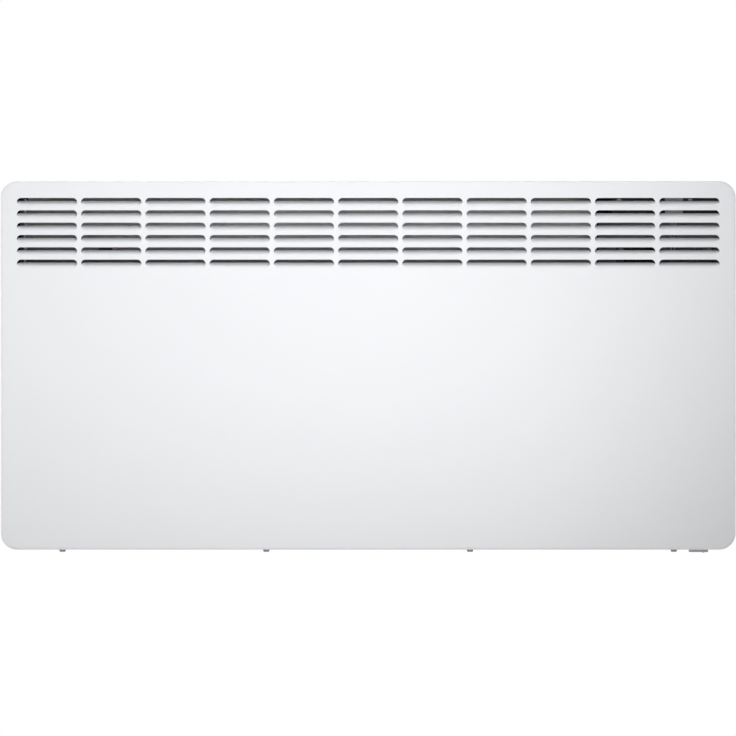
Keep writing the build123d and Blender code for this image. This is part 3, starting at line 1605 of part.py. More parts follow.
with BuildPart() as signal_leads:
    ribbon_points = [
        (housing_front_y + ribbon_reach, ribbon_top_z),
        (housing_front_y - ribbon_thickness, ribbon_top_z),
        (housing_front_y - ribbon_thickness, ribbon_plug_top_z),
    ]
    ribbon_plane = cross_plane(ribbon_x - ribbon_width / 2)
    add(folded_sheet(ribbon_plane, ribbon_points, ribbon_thickness, ribbon_width))
    plug_y = housing_front_y - ribbon_thickness / 2
    plug_under_z = ribbon_plug_top_z - ribbon_plug_height
    plug_place = [(ribbon_x, plug_y)]
    blocks(level(plug_under_z), plug_place, ribbon_plug_width, ribbon_plug_depth, ribbon_plug_height)
    signal_y = board_face_y - lead_step
    signal_turn_z = plug_under_z - signal_lead_fall
    signal_end_z = board_z + board_height / 2 - signal_lead_drop
    for shift in (-signal_lead_pitch / 2, signal_lead_pitch / 2):
        add(
            lead(
                (ribbon_x + shift, plug_y, plug_under_z),
                (ribbon_x + shift, plug_y, signal_turn_z),
                (ribbon_x + shift, signal_y, signal_turn_z),
                (ribbon_x + shift, signal_y, signal_end_z),
                (ribbon_x + shift, board_face_y, signal_end_z),
            )
        )
    add(
        lead(
            (terminal_x_places[5] + 2 * terminal_pitch, board_face_y, terminal_z),
            (terminal_x_places[5] + 2 * terminal_pitch, sensor_y, terminal_z),
            (sensor_x, sensor_y, terminal_z),
            (sensor_x, sensor_y, base_top_z + sensor_height),
        )
    )
save(signal_leads, "signal_leads")
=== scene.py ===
"""Wall panel convector heater: the finish of a white sheet steel heater that hangs on a zinc coated bracket.

Everything is in metres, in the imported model's frame: X runs to the right seen from the front, Y runs towards
the wall and Z is up.
"""

import json

import bmesh
import bpy
import numpy as np
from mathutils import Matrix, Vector
from mathutils.geometry import delaunay_2d_cdt


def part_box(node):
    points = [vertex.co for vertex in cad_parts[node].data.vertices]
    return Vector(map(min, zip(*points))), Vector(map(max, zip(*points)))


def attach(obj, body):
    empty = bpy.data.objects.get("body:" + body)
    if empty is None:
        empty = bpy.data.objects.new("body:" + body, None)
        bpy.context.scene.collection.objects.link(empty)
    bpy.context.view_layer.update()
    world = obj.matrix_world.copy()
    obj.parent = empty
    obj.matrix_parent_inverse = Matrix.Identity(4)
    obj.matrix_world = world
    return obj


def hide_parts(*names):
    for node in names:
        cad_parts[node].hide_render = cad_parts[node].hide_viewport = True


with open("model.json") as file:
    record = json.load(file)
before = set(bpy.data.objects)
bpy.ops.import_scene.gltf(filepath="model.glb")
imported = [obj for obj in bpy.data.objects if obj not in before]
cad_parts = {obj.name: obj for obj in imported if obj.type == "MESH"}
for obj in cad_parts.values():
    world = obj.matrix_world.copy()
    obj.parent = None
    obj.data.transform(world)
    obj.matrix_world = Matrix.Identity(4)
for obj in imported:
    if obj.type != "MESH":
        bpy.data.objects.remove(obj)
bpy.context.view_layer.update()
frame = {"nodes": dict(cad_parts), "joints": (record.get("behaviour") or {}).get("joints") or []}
mm = 0.001


# ---------------------------------------------------------
# Wall bracket. Two folded uprights with hooks and two cross rails, cut from hot dip galvanised sheet steel.
# The zinc has frozen into flat crystals a few millimetres across, each with its own grey and gloss.
# ---------------------------------------------------------
def new_surface(name, colours, numbers, vectors=()):
    """An empty shader node group with named inputs that gives a colour, a roughness and a normal."""
    group = bpy.data.node_groups.new(name, "ShaderNodeTree")
    sockets = [("INPUT", "Color", label) for label in colours]
    sockets += [("INPUT", "Vector", label) for label in vectors]
    sockets += [("INPUT", "Float", label) for label in numbers]
    for kind, label in (("Color", "Color"), ("Float", "Roughness"), ("Vector", "Normal")):
        sockets.append(("OUTPUT", kind, label))
    for in_out, kind, label in sockets:
        group.interface.new_socket(label, in_out=in_out, socket_type="NodeSocket" + kind)
    return group, group.nodes.new("NodeGroupInput").outputs, group.nodes.new("NodeGroupOutput").inputs


def add_node(tree, kind, settings=None, **inputs):
    """A new node. The inputs are sockets to link from, or plain values, each named as its input with _ for a
    space, or by i and its number."""
    node = tree.nodes.new("ShaderNode" + kind)
    for key, value in (settings or {}).items():
        setattr(node, key, value)
    for key, value in inputs.items():
        socket = node.inputs[int(key[1:]) if key[0] == "i" and key[1:].isdigit() else key.replace("_", " ")]
        if isinstance(value, bpy.types.NodeSocket):
            tree.links.new(value, socket)
        else:
            socket.default_value = value
    return node


def object_place(tree):
    """Where a point lies on its own object, in metres."""
    return add_node(tree, "TexCoord").outputs["Object"]


def noise(tree, place, scale, detail):
    """Soft noise from 0 to 1 with so many waves per metre."""
    return add_node(tree, "TexNoise", Vector=place, Scale=scale, Detail=detail).outputs["Fac"]


def worked(tree, operation, *values):
    """The result of a sum on one, two or three values."""
    inputs = {f"i{index}": value for index, value in enumerate(values)}
    return add_node(tree, "Math", {"operation": operation}, **inputs).outputs["Value"]


def mixed(tree, share, first, second):
    """The colour between first and second, at share from 0 to 1."""
    return add_node(tree, "MixRGB", Fac=share, Color1=first, Color2=second).outputs["Color"]


def ranged(tree, value, low=0.0, high=1.0, start=0.0, end=1.0):
    """A value from start to end, carried to the range from low to high and held inside it."""
    limits = {"From_Min": start, "From_Max": end, "To_Min": low, "To_Max": high}
    return add_node(tree, "MapRange", Value=value, **limits).outputs["Result"]


def give_surface(tree, result, colour, roughness, height, strength, distance):
    """Makes a colour, a roughness and the normal of a height map the results of a surface group."""
    bump = add_node(tree, "Bump", Height=height, Strength=strength, Distance=distance)
    for socket, label in ((colour, "Color"), (roughness, "Roughness"), (bump.outputs["Normal"], "Normal")):
        tree.links.new(socket, result[label])


crystals, given, result = new_surface(
    "zinc_crystals",
    colours=["Light", "Dark"],
    numbers=["Crystals per metre", "Smoothest", "Roughest", "Depth"],
)
place = object_place(crystals)
drift = add_node(crystals, "TexNoise", Vector=place, Scale=240.0, Detail=3.0).outputs["Color"]
drift_reach = 2.4 * mm
pushed = add_node(
    crystals, "VectorMath", {"operation": "MULTIPLY_ADD"}, i0=drift, i1=[drift_reach] * 3, i2=place
).outputs["Vector"]
cells = add_node(crystals, "TexVoronoi", Vector=pushed, Scale=given["Crystals per metre"]).outputs["Color"]
shade = add_node(crystals, "SeparateColor", Color=cells).outputs["Red"]
uneven = worked(crystals, "MULTIPLY_ADD", noise(crystals, place, 900.0, 3.0), 0.35, shade)
give_surface(
    crystals,
    result,
    colour=mixed(crystals, ranged(crystals, uneven, -0.15, 0.85), given["Dark"], given["Light"]),
    roughness=ranged(crystals, shade, given["Smoothest"], given["Roughest"]),
    height=uneven,
    strength=given["Depth"],
    distance=0.2 * mm,
)


def finish(name, group, metallic=0.0, specular=0.5, **values):
    """A material whose colour, roughness and normal come from one surface group with its own values."""
    material = bpy.data.materials.new(name)
    material.use_nodes = True
    tree = material.node_tree
    shader = tree.nodes["Principled BSDF"].inputs
    shader["Metallic"].default_value = metallic
    shader["Specular IOR Level"].default_value = specular
    surface = tree.nodes.new("ShaderNodeGroup")
    surface.node_tree = group
    for key, value in values.items():
        socket = surface.inputs[key.replace("_", " ").capitalize()]
        socket.default_value = (*value, 1) if socket.type == "RGBA" else value
    for output, target in (("Color", "Base Color"), ("Roughness", "Roughness"), ("Normal", "Normal")):
        tree.links.new(surface.outputs[output], shader[target])
    return material


def dress(material, *nodes):
    """Gives the CAD nodes this material."""
    for node in nodes:
        mesh = frame["nodes"][node].data
        mesh.materials.clear()
        mesh.materials.append(material)


galvanised = finish(
    "galvanised_steel",
    crystals,
    metallic=0.85,
    light=(0.53, 0.55, 0.57),
    dark=(0.39, 0.41, 0.43),
    crystals_per_metre=170.0,
    smoothest=0.34,
    roughest=0.52,
    depth=0.12,
)
dress(galvanised, "upright_right", "upright_left", "rails")


# ---------------------------------------------------------
# Rivets, screws, pivots and locks. Small steel pieces, turned, headed or pressed, then bright zinc plated: a
# faintly blue, nearly smooth metal with the fine marks of the tumbling drum.
# ---------------------------------------------------------
rolled, given, result = new_surface(
    "rolled_metal",
    colours=["Light", "Dark"],
    numbers=["Smoothest", "Roughest", "Depth"],
    vectors=["Lines per metre"],
)
place = object_place(rolled)
stretched = add_node(rolled, "VectorMath", {"operation": "MULTIPLY"}, i0=place, i1=given["Lines per metre"])
lines = noise(rolled, stretched.outputs["Vector"], 1.0, 4.0)
blotches = worked(rolled, "ADD", lines, noise(rolled, place, 14.0, 3.0))
spread = ranged(rolled, blotches, start=0.7, end=1.3)
give_surface(
    rolled,
    result,
    colour=mixed(rolled, spread, given["Dark"], given["Light"]),
    roughness=ranged(rolled, spread, given["Smoothest"], given["Roughest"]),
    height=lines,
    strength=given["Depth"],
    distance=0.1 * mm,
)

zinc_plated = finish(
    "zinc_plated_steel",
    rolled,
    metallic=1.0,
    light=(0.72, 0.74, 0.77),
    dark=(0.56, 0.58, 0.61),
    lines_per_metre=(1500.0, 1500.0, 1500.0),
    smoothest=0.24,
    roughest=0.42,
    depth=0.15,
)
dress(zinc_plated, "rail_rivets", "heater_rivets", "lock_pivots", "lock_lever_right", "lock_lever_left")
dress(zinc_plated, "element_flange", "element_pins")

# The screws get a darker copy of the zinc plating, painted shade for screws deep inside and under the casing.
shade_darkened_zinc = finish(
    "shade_darkened_zinc",
    rolled,
    metallic=0.8,
    light=(0.25, 0.25, 0.245),
    dark=(0.16, 0.16, 0.155),
    lines_per_metre=(1200.0, 1200.0, 1200.0),
    smoothest=0.42,
    roughest=0.60,
    depth=0.15,
)
dress(shade_darkened_zinc, "inner_screws", "casing_screws")


# ---------------------------------------------------------
# Wall buffers and grommet. Moulded black rubber, dull, with a soft bloom in patches. Four buffers keep the
# heater off its bracket, and the grommet lines the hole in the rear panel that the leads pass through.
# ---------------------------------------------------------
grained, given, result = new_surface(
    "fine_grain",
    colours=["Colour", "Shade"],
    numbers=["Grains per metre", "Patches per metre", "Smoothest", "Roughest", "Depth"],
)
place = object_place(grained)
grain = noise(grained, place, given["Grains per metre"], 2.0)
patch = ranged(grained, noise(grained, place, given["Patches per metre"], 4.0), start=0.35, end=0.65)
both = worked(grained, "MULTIPLY_ADD", grain, 0.5, patch)
give_surface(
    grained,
    result,
    colour=mixed(grained, ranged(grained, both, -0.15, 0.85), given["Shade"], given["Colour"]),
    roughness=ranged(grained, grain, given["Smoothest"], given["Roughest"]),
    height=grain,
    strength=given["Depth"],
    distance=0.2 * mm,
)

rubber = finish(
    "black_rubber",
    grained,
    specular=0.3,
    colour=(0.030, 0.030, 0.031),
    shade=(0.018, 0.018, 0.019),
    grains_per_metre=2200.0,
    patches_per_metre=120.0,
    smoothest=0.65,
    roughest=0.85,
    depth=0.2,
)
dress(rubber, "wall_buffers", "grommet")


# ---------------------------------------------------------
# Rear panel, base plate and top clips. Galvanised sheet, thinner and brighter than the bracket, pressed with
# two beads on the back and punched with a row of air slots underneath.
# ---------------------------------------------------------
panel_zinc, shade_painted_zinc = (
    finish(
        name,
        crystals,
        metallic=0.8,
        light=(0.59, 0.60, 0.61),
        dark=(0.49, 0.50, 0.51),
        crystals_per_metre=130.0,
        smoothest=0.36,
        roughest=0.50,
        depth=0.06,
    )
    for name in ("galvanised_panel", "shade_painted_panel")
)


def dimmed(material, lit_share):
    """Scales the material's colour by a share that changes over the surface, to paint shade on it."""
    tree = material.node_tree
    target = tree.nodes["Principled BSDF"].inputs["Base Color"]
    bare = target.links[0].from_socket
    scaled = add_node(tree, "VectorMath", {"operation": "SCALE"}, i0=bare, Scale=lit_share)
    tree.links.new(scaled.outputs["Vector"], target)


# Painted shade darkens the rear panel's inner side; above the duct, where light falls in through the louvres,
# less is painted.
back_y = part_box("front_casing")[1].y
duct_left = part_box("duct_wall_left")[1].x
duct_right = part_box("duct_wall_right")[0].x
shade_near, shade_far, shade_blur = 0.2 * mm, 0.5 * mm, 1 * mm
shaded_z, lit_z = 0.190, 0.200
shaded_share, lit_over_duct_share = 0.06, 0.60
tree = shade_painted_zinc.node_tree
along = add_node(tree, "SeparateXYZ", Vector=object_place(tree)).outputs
inside = ranged(tree, along["Y"], start=back_y - shade_near, end=back_y - shade_far)
above = ranged(tree, along["Z"], start=shaded_z, end=lit_z)
aside = worked(tree, "ABSOLUTE", worked(tree, "SUBTRACT", along["X"], (duct_left + duct_right) / 2))
duct_half = (duct_right - duct_left) / 2
between = ranged(tree, aside, start=duct_half + shade_blur, end=duct_half - shade_blur)
over_duct = worked(tree, "MULTIPLY", above, between)
dimmed(shade_painted_zinc, ranged(tree, inside, 1.0, ranged(tree, over_duct, shaded_share, lit_over_duct_share)))
dress(panel_zinc, "base_plate", "top_clips")
dress(shade_painted_zinc, "rear_panel")


# ---------------------------------------------------------
# Air duct and element supports. Aluminium coated sheet with rolling lines along it. Painted shade darkens the
# shields' straight part, their top lip and their left end, and the side walls are a darker grey copy of the
# sheet.
# ---------------------------------------------------------
duct_sheet = finish(
    "aluminised_steel",
    rolled,
    metallic=0.55,
    light=(0.86, 0.86, 0.85),
    dark=(0.76, 0.76, 0.75),
    lines_per_metre=(12.0, 700.0, 700.0),
    smoothest=0.42,
    roughest=0.58,
    depth=0.12,
)
duct_side = finish(
    "aluminised_side",
    rolled,
    metallic=0.4,
    light=(0.36, 0.36, 0.35),
    dark=(0.28, 0.28, 0.27),
    lines_per_metre=(700.0, 700.0, 12.0),
    smoothest=0.52,
    roughest=0.66,
    depth=0.12,
)

# How much of its colour the sheet keeps under painted shade, by height in metres, from the straight part to
# the top lip.
# Towards the left end it keeps less, as more shade is painted there.
lit_share_by_height = {0.130: 0.30, 0.144: 0.27, 0.149: 0.86, 0.176: 0.88, 0.186: 0.60, 0.195: 0.40, 0.198: 0.24}
shaded_x, lit_x, lit_share_at_left = -0.42, -0.12, 0.55
tree = duct_sheet.node_tree
along = add_node(tree, "SeparateXYZ", Vector=object_place(tree)).outputs
low_z, high_z = min(lit_share_by_height), max(lit_share_by_height)
painted_shade_ramp = add_node(tree, "ValToRGB", Fac=ranged(tree, along["Z"], start=low_z, end=high_z))
stops = painted_shade_ramp.color_ramp.elements
while len(stops) < len(lit_share_by_height):
    stops.new(0.5)
for stop, (level, lit_share) in zip(stops, lit_share_by_height.items()):
    stop.position = (level - low_z) / (high_z - low_z)
    stop.color = (lit_share, lit_share, lit_share, 1)
sideways = ranged(tree, along["X"], lit_share_at_left, 1.0, shaded_x, lit_x)
dimmed(duct_sheet, worked(tree, "MULTIPLY", painted_shade_ramp.outputs["Color"], sideways))
dress(duct_sheet, "rear_shield", "front_shield")
dress(duct_side, "duct_wall_right", "duct_wall_left", "element_supports")


# ---------------------------------------------------------
# Finned element. A stainless tube bent to a hairpin, browned by heat, with two banks of thin aluminium fins
# pressed on to it, and white steatite bushes and seals where it passes through sheet metal.
# ---------------------------------------------------------
tube_steel = finish(
    "heated_stainless",
    rolled,
    metallic=1.0,
    light=(0.46, 0.40, 0.34),
    dark=(0.27, 0.22, 0.18),
    lines_per_metre=(30.0, 400.0, 400.0),
    smoothest=0.30,
    roughest=0.48,
    depth=0.08,
)
fin_metal = finish(
    "fin_aluminium",
    rolled,
    metallic=1.0,
    light=(0.86, 0.87, 0.88),
    dark=(0.74, 0.75, 0.76),
    lines_per_metre=(900.0, 900.0, 20.0),
    smoothest=0.22,
    roughest=0.38,
    depth=0.1,
)
steatite = finish(
    "white_ceramic",
    grained,
    colour=(0.80, 0.77, 0.70),
    shade=(0.70, 0.66, 0.58),
    grains_per_metre=1800.0,
    patches_per_metre=150.0,
    smoothest=0.38,
    roughest=0.52,
    depth=0.1,
)
dress(tube_steel, "element_tube")
dress(fin_metal, "element_fins", "cutout_plates")
dress(steatite, "element_bushes", "element_seals")


# ---------------------------------------------------------
# Overheat cut-outs and their terminals. Brown black pressed resin bodies on aluminium plates, with stamped
# brass spades that have gone slightly dull.
# ---------------------------------------------------------
resin = finish(
    "pressed_resin",
    grained,
    colour=(0.040, 0.027, 0.020),
    shade=(0.020, 0.014, 0.011),
    grains_per_metre=1600.0,
    patches_per_metre=140.0,
    smoothest=0.30,
    roughest=0.45,
    depth=0.12,
)
brass = finish(
    "stamped_brass",
    rolled,
    metallic=1.0,
    light=(0.80, 0.62, 0.30),
    dark=(0.60, 0.44, 0.20),
    lines_per_metre=(1200.0, 1200.0, 60.0),
    smoothest=0.24,
    roughest=0.42,
    depth=0.1,
)
dress(resin, "cutout_bodies")
dress(brass, "cutout_spades", "stand_offs", "switch_spades")


# ---------------------------------------------------------
# Circuit boards. Glass fibre board under green lacquer, darkened nearly to black as painted shade: paler where
# copper runs underneath, with specks of solder.
# ---------------------------------------------------------
tracks, given, result = new_surface(
    "circuit_tracks",
    colours=["Lacquer", "Over copper", "Solder"],
    numbers=["Tracks per metre"],
)
place = object_place(tracks)
squares = add_node(
    tracks,
    "TexVoronoi",
    {"feature": "F1", "distance": "CHEBYCHEV"},
    Vector=place,
    Scale=given["Tracks per metre"],
    Randomness=0.7,
)
copper = ranged(tracks, squares.outputs["Distance"], start=0.34, end=0.38)
dots = add_node(tracks, "TexVoronoi", Vector=place, Scale=330.0, Randomness=0.5).outputs["Distance"]
solder = ranged(tracks, dots, start=0.16, end=0.12)
green = mixed(tracks, copper, given["Over copper"], given["Lacquer"])
give_surface(
    tracks,
    result,
    colour=mixed(tracks, solder, green, given["Solder"]),
    roughness=ranged(tracks, solder, 0.46, 0.26),
    height=solder,
    strength=0.3,
    distance=0.3 * mm,
)

# The lacquer is darkened nearly to black: painted shade for boards that lie in shadow inside the casing.
lacquered_board = finish(
    "lacquered_board",
    tracks,
    lacquer=(0.040, 0.062, 0.050),
    over_copper=(0.065, 0.100, 0.078),
    solder=(0.75, 0.76, 0.77),
    tracks_per_metre=240.0,
)
dress(lacquered_board, "power_board", "control_board")


# ---------------------------------------------------------
# Board components, gland and control housing. Moulded black relays, key switches, gland and housing, a
# transformer under yellow tape, grey capacitors and terminal block, and an extruded aluminium heat sink.
# ---------------------------------------------------------
black_plastic = finish(
    "black_plastic",
    grained,
    colour=(0.018, 0.018, 0.019),
    shade=(0.010, 0.010, 0.011),
    grains_per_metre=1400.0,
    patches_per_metre=50.0,
    smoothest=0.38,
    roughest=0.55,
    depth=0.25,
)
yellow_tape = finish(
    "winding_tape",
    rolled,
    light=(0.62, 0.43, 0.08),
    dark=(0.48, 0.32, 0.05),
    lines_per_metre=(40.0, 600.0, 40.0),
    smoothest=0.30,
    roughest=0.45,
    depth=0.15,
)
grey_sleeve = finish(
    "grey_sleeve",
    grained,
    colour=(0.20, 0.21, 0.22),
    shade=(0.15, 0.16, 0.17),
    grains_per_metre=900.0,
    patches_per_metre=80.0,
    smoothest=0.28,
    roughest=0.42,
    depth=0.1,
)
relay_black, housing_black = (
    finish(
        name,
        grained,
        specular=0.2,
        colour=(colour, colour, 1.05 * colour),
        shade=(0.6 * colour, 0.6 * colour, 0.63 * colour),
        grains_per_metre=1400.0,
        patches_per_metre=50.0,
        smoothest=0.60,
        roughest=0.75,
        depth=0.25,
    )
    for name, colour in (("relay_black", 0.010), ("housing_black", 0.030))
)
dress(black_plastic, "key_switches", "gland_body", "gland_nut", "gland_cap")
dress(relay_black, "relays")
dress(housing_black, "control_housing")
dress(yellow_tape, "transformer")
dress(grey_sleeve, "capacitors", "board_terminal")
dress(fin_metal, "heat_sink")


# ---------------------------------------------------------
# Leads. Silicone covered wires in the colours of house wiring, brown, blue and green with yellow bands, and
# grey ones for signals.
# ---------------------------------------------------------
def lead_finish(name, colour):
    """Silicone cover of one colour, a little darker in patches."""
    return finish(
        name,
        grained,
        colour=colour,
        shade=[0.75 * part for part in colour],
        grains_per_metre=1500.0,
        patches_per_metre=60.0,
        smoothest=0.45,
        roughest=0.6,
        depth=0.1,
    )


dress(lead_finish("brown_lead", (0.16, 0.06, 0.02)), "live_leads")
dress(lead_finish("blue_lead", (0.03, 0.13, 0.50)), "neutral_leads")
dress(lead_finish("grey_lead", (0.32, 0.32, 0.33)), "signal_leads")

earth_bands = lead_finish("earth_lead", (0.06, 0.36, 0.08))
yellow_band = (0.80, 0.62, 0.05, 1)
tree = earth_bands.node_tree
waves = add_node(tree, "TexWave", {"bands_direction": "DIAGONAL"}, Vector=object_place(tree), Scale=80.0)
band = ranged(tree, waves.outputs["Fac"], start=0.45, end=0.55)
cover = tree.nodes["Principled BSDF"].inputs["Base Color"]
tree.links.new(mixed(tree, band, cover.links[0].from_socket, yellow_band), cover)
dress(earth_bands, "earth_lead")


# ---------------------------------------------------------
# Mains connection box, terminal strip, room sensor and the control unit's fascia. White plastic, moulded with
# a fine spark eroded texture, a shade greyer than the casing's enamel.
# ---------------------------------------------------------
white_plastic = finish(
    "white_plastic",
    grained,
    colour=(0.81, 0.815, 0.81),
    shade=(0.76, 0.765, 0.76),
    grains_per_metre=1300.0,
    patches_per_metre=15.0,
    smoothest=0.36,
    roughest=0.5,
    depth=0.15,
)
dress(white_plastic, "connection_box", "terminal_strip", "room_sensor", "control_fascia")


# ---------------------------------------------------------
# Front casing. One steel sheet, punched with 66 louvres, folded round its edges and powder coated white. In
# each louvre the lower lip is pressed inwards: the sheet rolls over into a leaning blade under an open slit.
# ---------------------------------------------------------
casing_low, casing_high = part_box("front_casing")
half_width = (casing_high.x - casing_low.x) / 2
half_height = (casing_high.z - casing_low.z) / 2
front_y = casing_low.y
rear_y = casing_high.y
sheet = 0.8 * mm
corner_radius = 20 * mm
edge_radius = 3 * mm
edge_steps = 8
support = 0.6 * mm
flange_depth = 16 * mm
flange_lap = 4 * mm

louvre_columns, louvre_rows = 11, 6
louvre_pitch_x, louvre_pitch_z = 78.4 * mm, 15.05 * mm
louvre_half_length, louvre_half_height = 36.7 * mm, 5 * mm
louvre_top_margin = 20.6 * mm
blade_rise = 6.4 * mm
blade_lean = 6.4 * mm
lip_bend = 1.0 * mm
blade_root_angle = 18
blade_taper = 1.2
corner_steps = 10
hair = 1e-6
triangles_inside, same_point, least_area = 1, 1e-4, 1e-12


def rounded_loop(across, up, radius, upright_support=True):
    """Points round a rectangle with round corners, anticlockwise from its right side. Each corner is an arc:
    its centre plus radius times the cosine and sine of even angles. A support point lies beside it on both
    straight runs, or only on the level one."""
    turn = np.radians(np.linspace(0, 90, corner_steps + 1))
    arc = np.stack([radius * np.cos(turn), radius * np.sin(turn)], 1)
    loop = []
    for quarter in range(4):
        points = arc
        if upright_support or quarter % 2:
            points = np.vstack([[radius, -support], points])
        if upright_support or not quarter % 2:
            points = np.vstack([points, [-support, radius]])
        angle = quarter * np.pi / 2
        turned = points @ np.array([[np.cos(angle), np.sin(angle)], [-np.sin(angle), np.cos(angle)]])
        side = np.array([(1, 1), (-1, 1), (-1, -1), (1, -1)][quarter])
        loop.append(turned + side * (np.array([across, up]) - radius))
    return np.concatenate(loop)


def ring_faces(outer_start, inner_start, count):
    """Quads between two loops of count points, facing outwards when the first is the outer or rear one."""
    step = np.arange(count)
    ahead = (step + 1) % count
    return np.stack([outer_start + step, outer_start + ahead, inner_start + ahead, inner_start + step], 1)


def stacked_faces(loops, count):
    """Quads that join each of so many stacked loops of count points to the next one."""
    return [ring_faces(i * count, (i + 1) * count, count) for i in range(loops - 1)]


def flat_faces(loops, inside):
    """Triangles that fill the first closed loop of 2D points and leave the other loops open. The inside test
    says which centres lie in an opening. The points are taken in millimetres, in the order of the loops."""
    points = np.concatenate(loops) / mm
    edges = []
    start = 0
    for loop in loops:
        count = len(loop)
        edges += [(start + i, start + (i + 1) % count) for i in range(count)]
        start += count
    vectors = [Vector(point) for point in points]
    filled = delaunay_2d_cdt(vectors, edges, [], triangles_inside, same_point)
    faces = np.array(filled[2])
    corners = np.array([tuple(point) for point in filled[0]])[faces] * mm
    area = np.cross(corners[:, 1] - corners[:, 0], corners[:, 2] - corners[:, 0])
    faces[area < 0] = faces[area < 0][:, ::-1]
    keep = ~inside(corners.mean(1)) & (np.abs(area) > least_area)
    originals = np.array([source[0] for source in filled[3]])
    return originals[faces[keep]]


def bend_depth(inward):
    """How deep the sheet lies at a distance inward of the lip line: flat up to the bend, then a parabola to
    the blade's free edge, which is the blade's lean deep."""
    share = np.clip((inward + lip_bend) / (blade_rise + lip_bend), 0, None)
    return blade_lean * share**2


def lip_share(loop):
    """How far each point of a louvre's loop takes part in the pressed lip: all of it along the bottom, none
    of it above the blade's root, and between them the square root of the height share."""
    radius = np.abs(loop[:, 1]).max()
    depth_share = -loop[:, 1] / radius
    root = np.sin(np.radians(blade_root_angle))
    return np.sqrt(np.clip((depth_share - root) / (1 - root), 0, 1))


louvre_offsets = np.array([-lip_bend - support, -lip_bend, -0.5 * lip_bend, 0])
louvre_loops = [
    rounded_loop(louvre_half_length - offset, louvre_half_height - offset, louvre_half_height - offset, False)
    for offset in louvre_offsets
]
loop_count = len(louvre_loops[0])
louvre_points = np.concatenate(
    [
        np.column_stack([loop[:, 0], lip_share(loop) * bend_depth(offset), loop[:, 1]])
        for loop, offset in zip(louvre_loops, louvre_offsets)
    ]
)
louvre_faces = stacked_faces(len(louvre_loops), loop_count)

share = lip_share(louvre_loops[-1])
root_z = -louvre_half_height * np.sin(np.radians(blade_root_angle))
lower = np.flatnonzero(louvre_loops[-1][:, 1] < root_z + hair)
heights = np.array([0.1, 0.25, 0.4, 0.55, 0.7, 0.85, 1.0])
column_rise = blade_rise * share[lower] ** blade_taper
blade_x = np.repeat(louvre_loops[-1][lower, 0][None], len(heights), 0)
blade_z = louvre_loops[-1][lower, 1][None] + heights[:, None] * column_rise[None]
blade_y = share[lower][None] * bend_depth(heights[:, None] * blade_rise)
blade_start = len(louvre_points)
louvre_points = np.vstack([louvre_points, np.stack([blade_x, blade_y, blade_z], 2).reshape(-1, 3)])
lip_index = (len(louvre_loops) - 1) * loop_count + lower
grid = np.vstack([lip_index, blade_start + np.arange(blade_x.size).reshape(blade_x.shape)])
louvre_faces.append(np.stack([grid[:-1, :-1], grid[:-1, 1:], grid[1:, 1:], grid[1:, :-1]], 2).reshape(-1, 4))
louvre_faces = np.concatenate(louvre_faces)

top_row_z = half_height - louvre_top_margin - louvre_half_height
louvre_centres = np.array(
    [
        ((column - (louvre_columns - 1) / 2) * louvre_pitch_x, top_row_z - row * louvre_pitch_z)
        for row in range(louvre_rows)
        for column in range(louvre_columns)
    ]
)

turns = np.linspace(0, np.pi / 2, edge_steps + 1)
edge_profile = [(edge_radius + support, 0.0)]
edge_profile += [(edge_radius * (1 - np.sin(t)), edge_radius * (1 - np.cos(t))) for t in turns]
edge_profile += [(0.0, edge_radius + support), (0.0, flange_depth), (0.0, rear_y - front_y)]
rim_loops = [
    rounded_loop(half_width - inset, half_height - inset, corner_radius - inset) for inset, _ in edge_profile
]
rim_count = len(rim_loops[0])
points = [
    np.column_stack([loop[:, 0], np.full(rim_count, depth), loop[:, 1]])
    for loop, (_, depth) in zip(rim_loops, edge_profile)
]
faces = [ring_faces((i + 1) * rim_count, i * rim_count, rim_count) for i in range(len(rim_loops) - 2)]
last_band = ring_faces((len(rim_loops) - 1) * rim_count, (len(rim_loops) - 2) * rim_count, rim_count)
corner_points = rim_count // 4
top_run, bottom_run = corner_points - 1, 3 * corner_points - 1
faces.append(np.delete(last_band, [top_run, bottom_run], 0))
total = len(rim_loops) * rim_count

for centre in louvre_centres:
    points.append(louvre_points + np.array([centre[0], 0, centre[1]]))
    faces.append(louvre_faces + total)
    total += len(louvre_points)


def in_louvre(centres):
    """True for points in a louvre's outermost loop: nearer to its middle line than that loop's radius."""
    offset = centres[:, None] - louvre_centres[None]
    straight = louvre_half_length - louvre_half_height
    along = np.maximum(np.abs(offset[..., 0]) - straight, 0)
    return (np.hypot(along, offset[..., 1]) < louvre_half_height - louvre_offsets[0] - hair).any(1)


front_loops = [rim_loops[0]] + [louvre_loops[0] + centre for centre in louvre_centres]
louvre_starts = len(rim_loops) * rim_count + len(louvre_points) * np.arange(len(louvre_centres))
front_index = [np.arange(rim_count)] + [start + np.arange(loop_count) for start in louvre_starts]
front_triangles = np.concatenate(front_index)[flat_faces(front_loops, in_louvre)]

# The top wall is left open where the control unit's fascia fits, and the bottom wall ends in a narrow flange.
fascia_low, fascia_high = np.array(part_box("control_fascia"))[:, :2]
fascia_gap, fascia_rim, fascia_corner, opening_margin = 0.3 * mm, 3 * mm, 4.3 * mm, 0.2 * mm
opening_half = (fascia_high - fascia_low) / 2 - fascia_rim + fascia_gap
opening_centre = (fascia_high + fascia_low) / 2 - (0, front_y)
opening = rounded_loop(*opening_half, fascia_corner) + opening_centre
band_front = (len(rim_loops) - 2) * rim_count
band_rear = (len(rim_loops) - 1) * rim_count
top_corners = top_run + np.array([band_front + 1, band_front, band_rear, band_rear + 1])
joined = np.concatenate(points)
top_triangles = flat_faces(
    [joined[top_corners][:, :2], opening],
    lambda centres: (np.abs(centres - opening_centre) < opening_half - opening_margin).all(1),
)
opening_start = len(joined)
top_index = np.concatenate([top_corners, opening_start + np.arange(len(opening))])
joined = np.vstack([joined, np.column_stack([opening, np.full(len(opening), half_height)])])

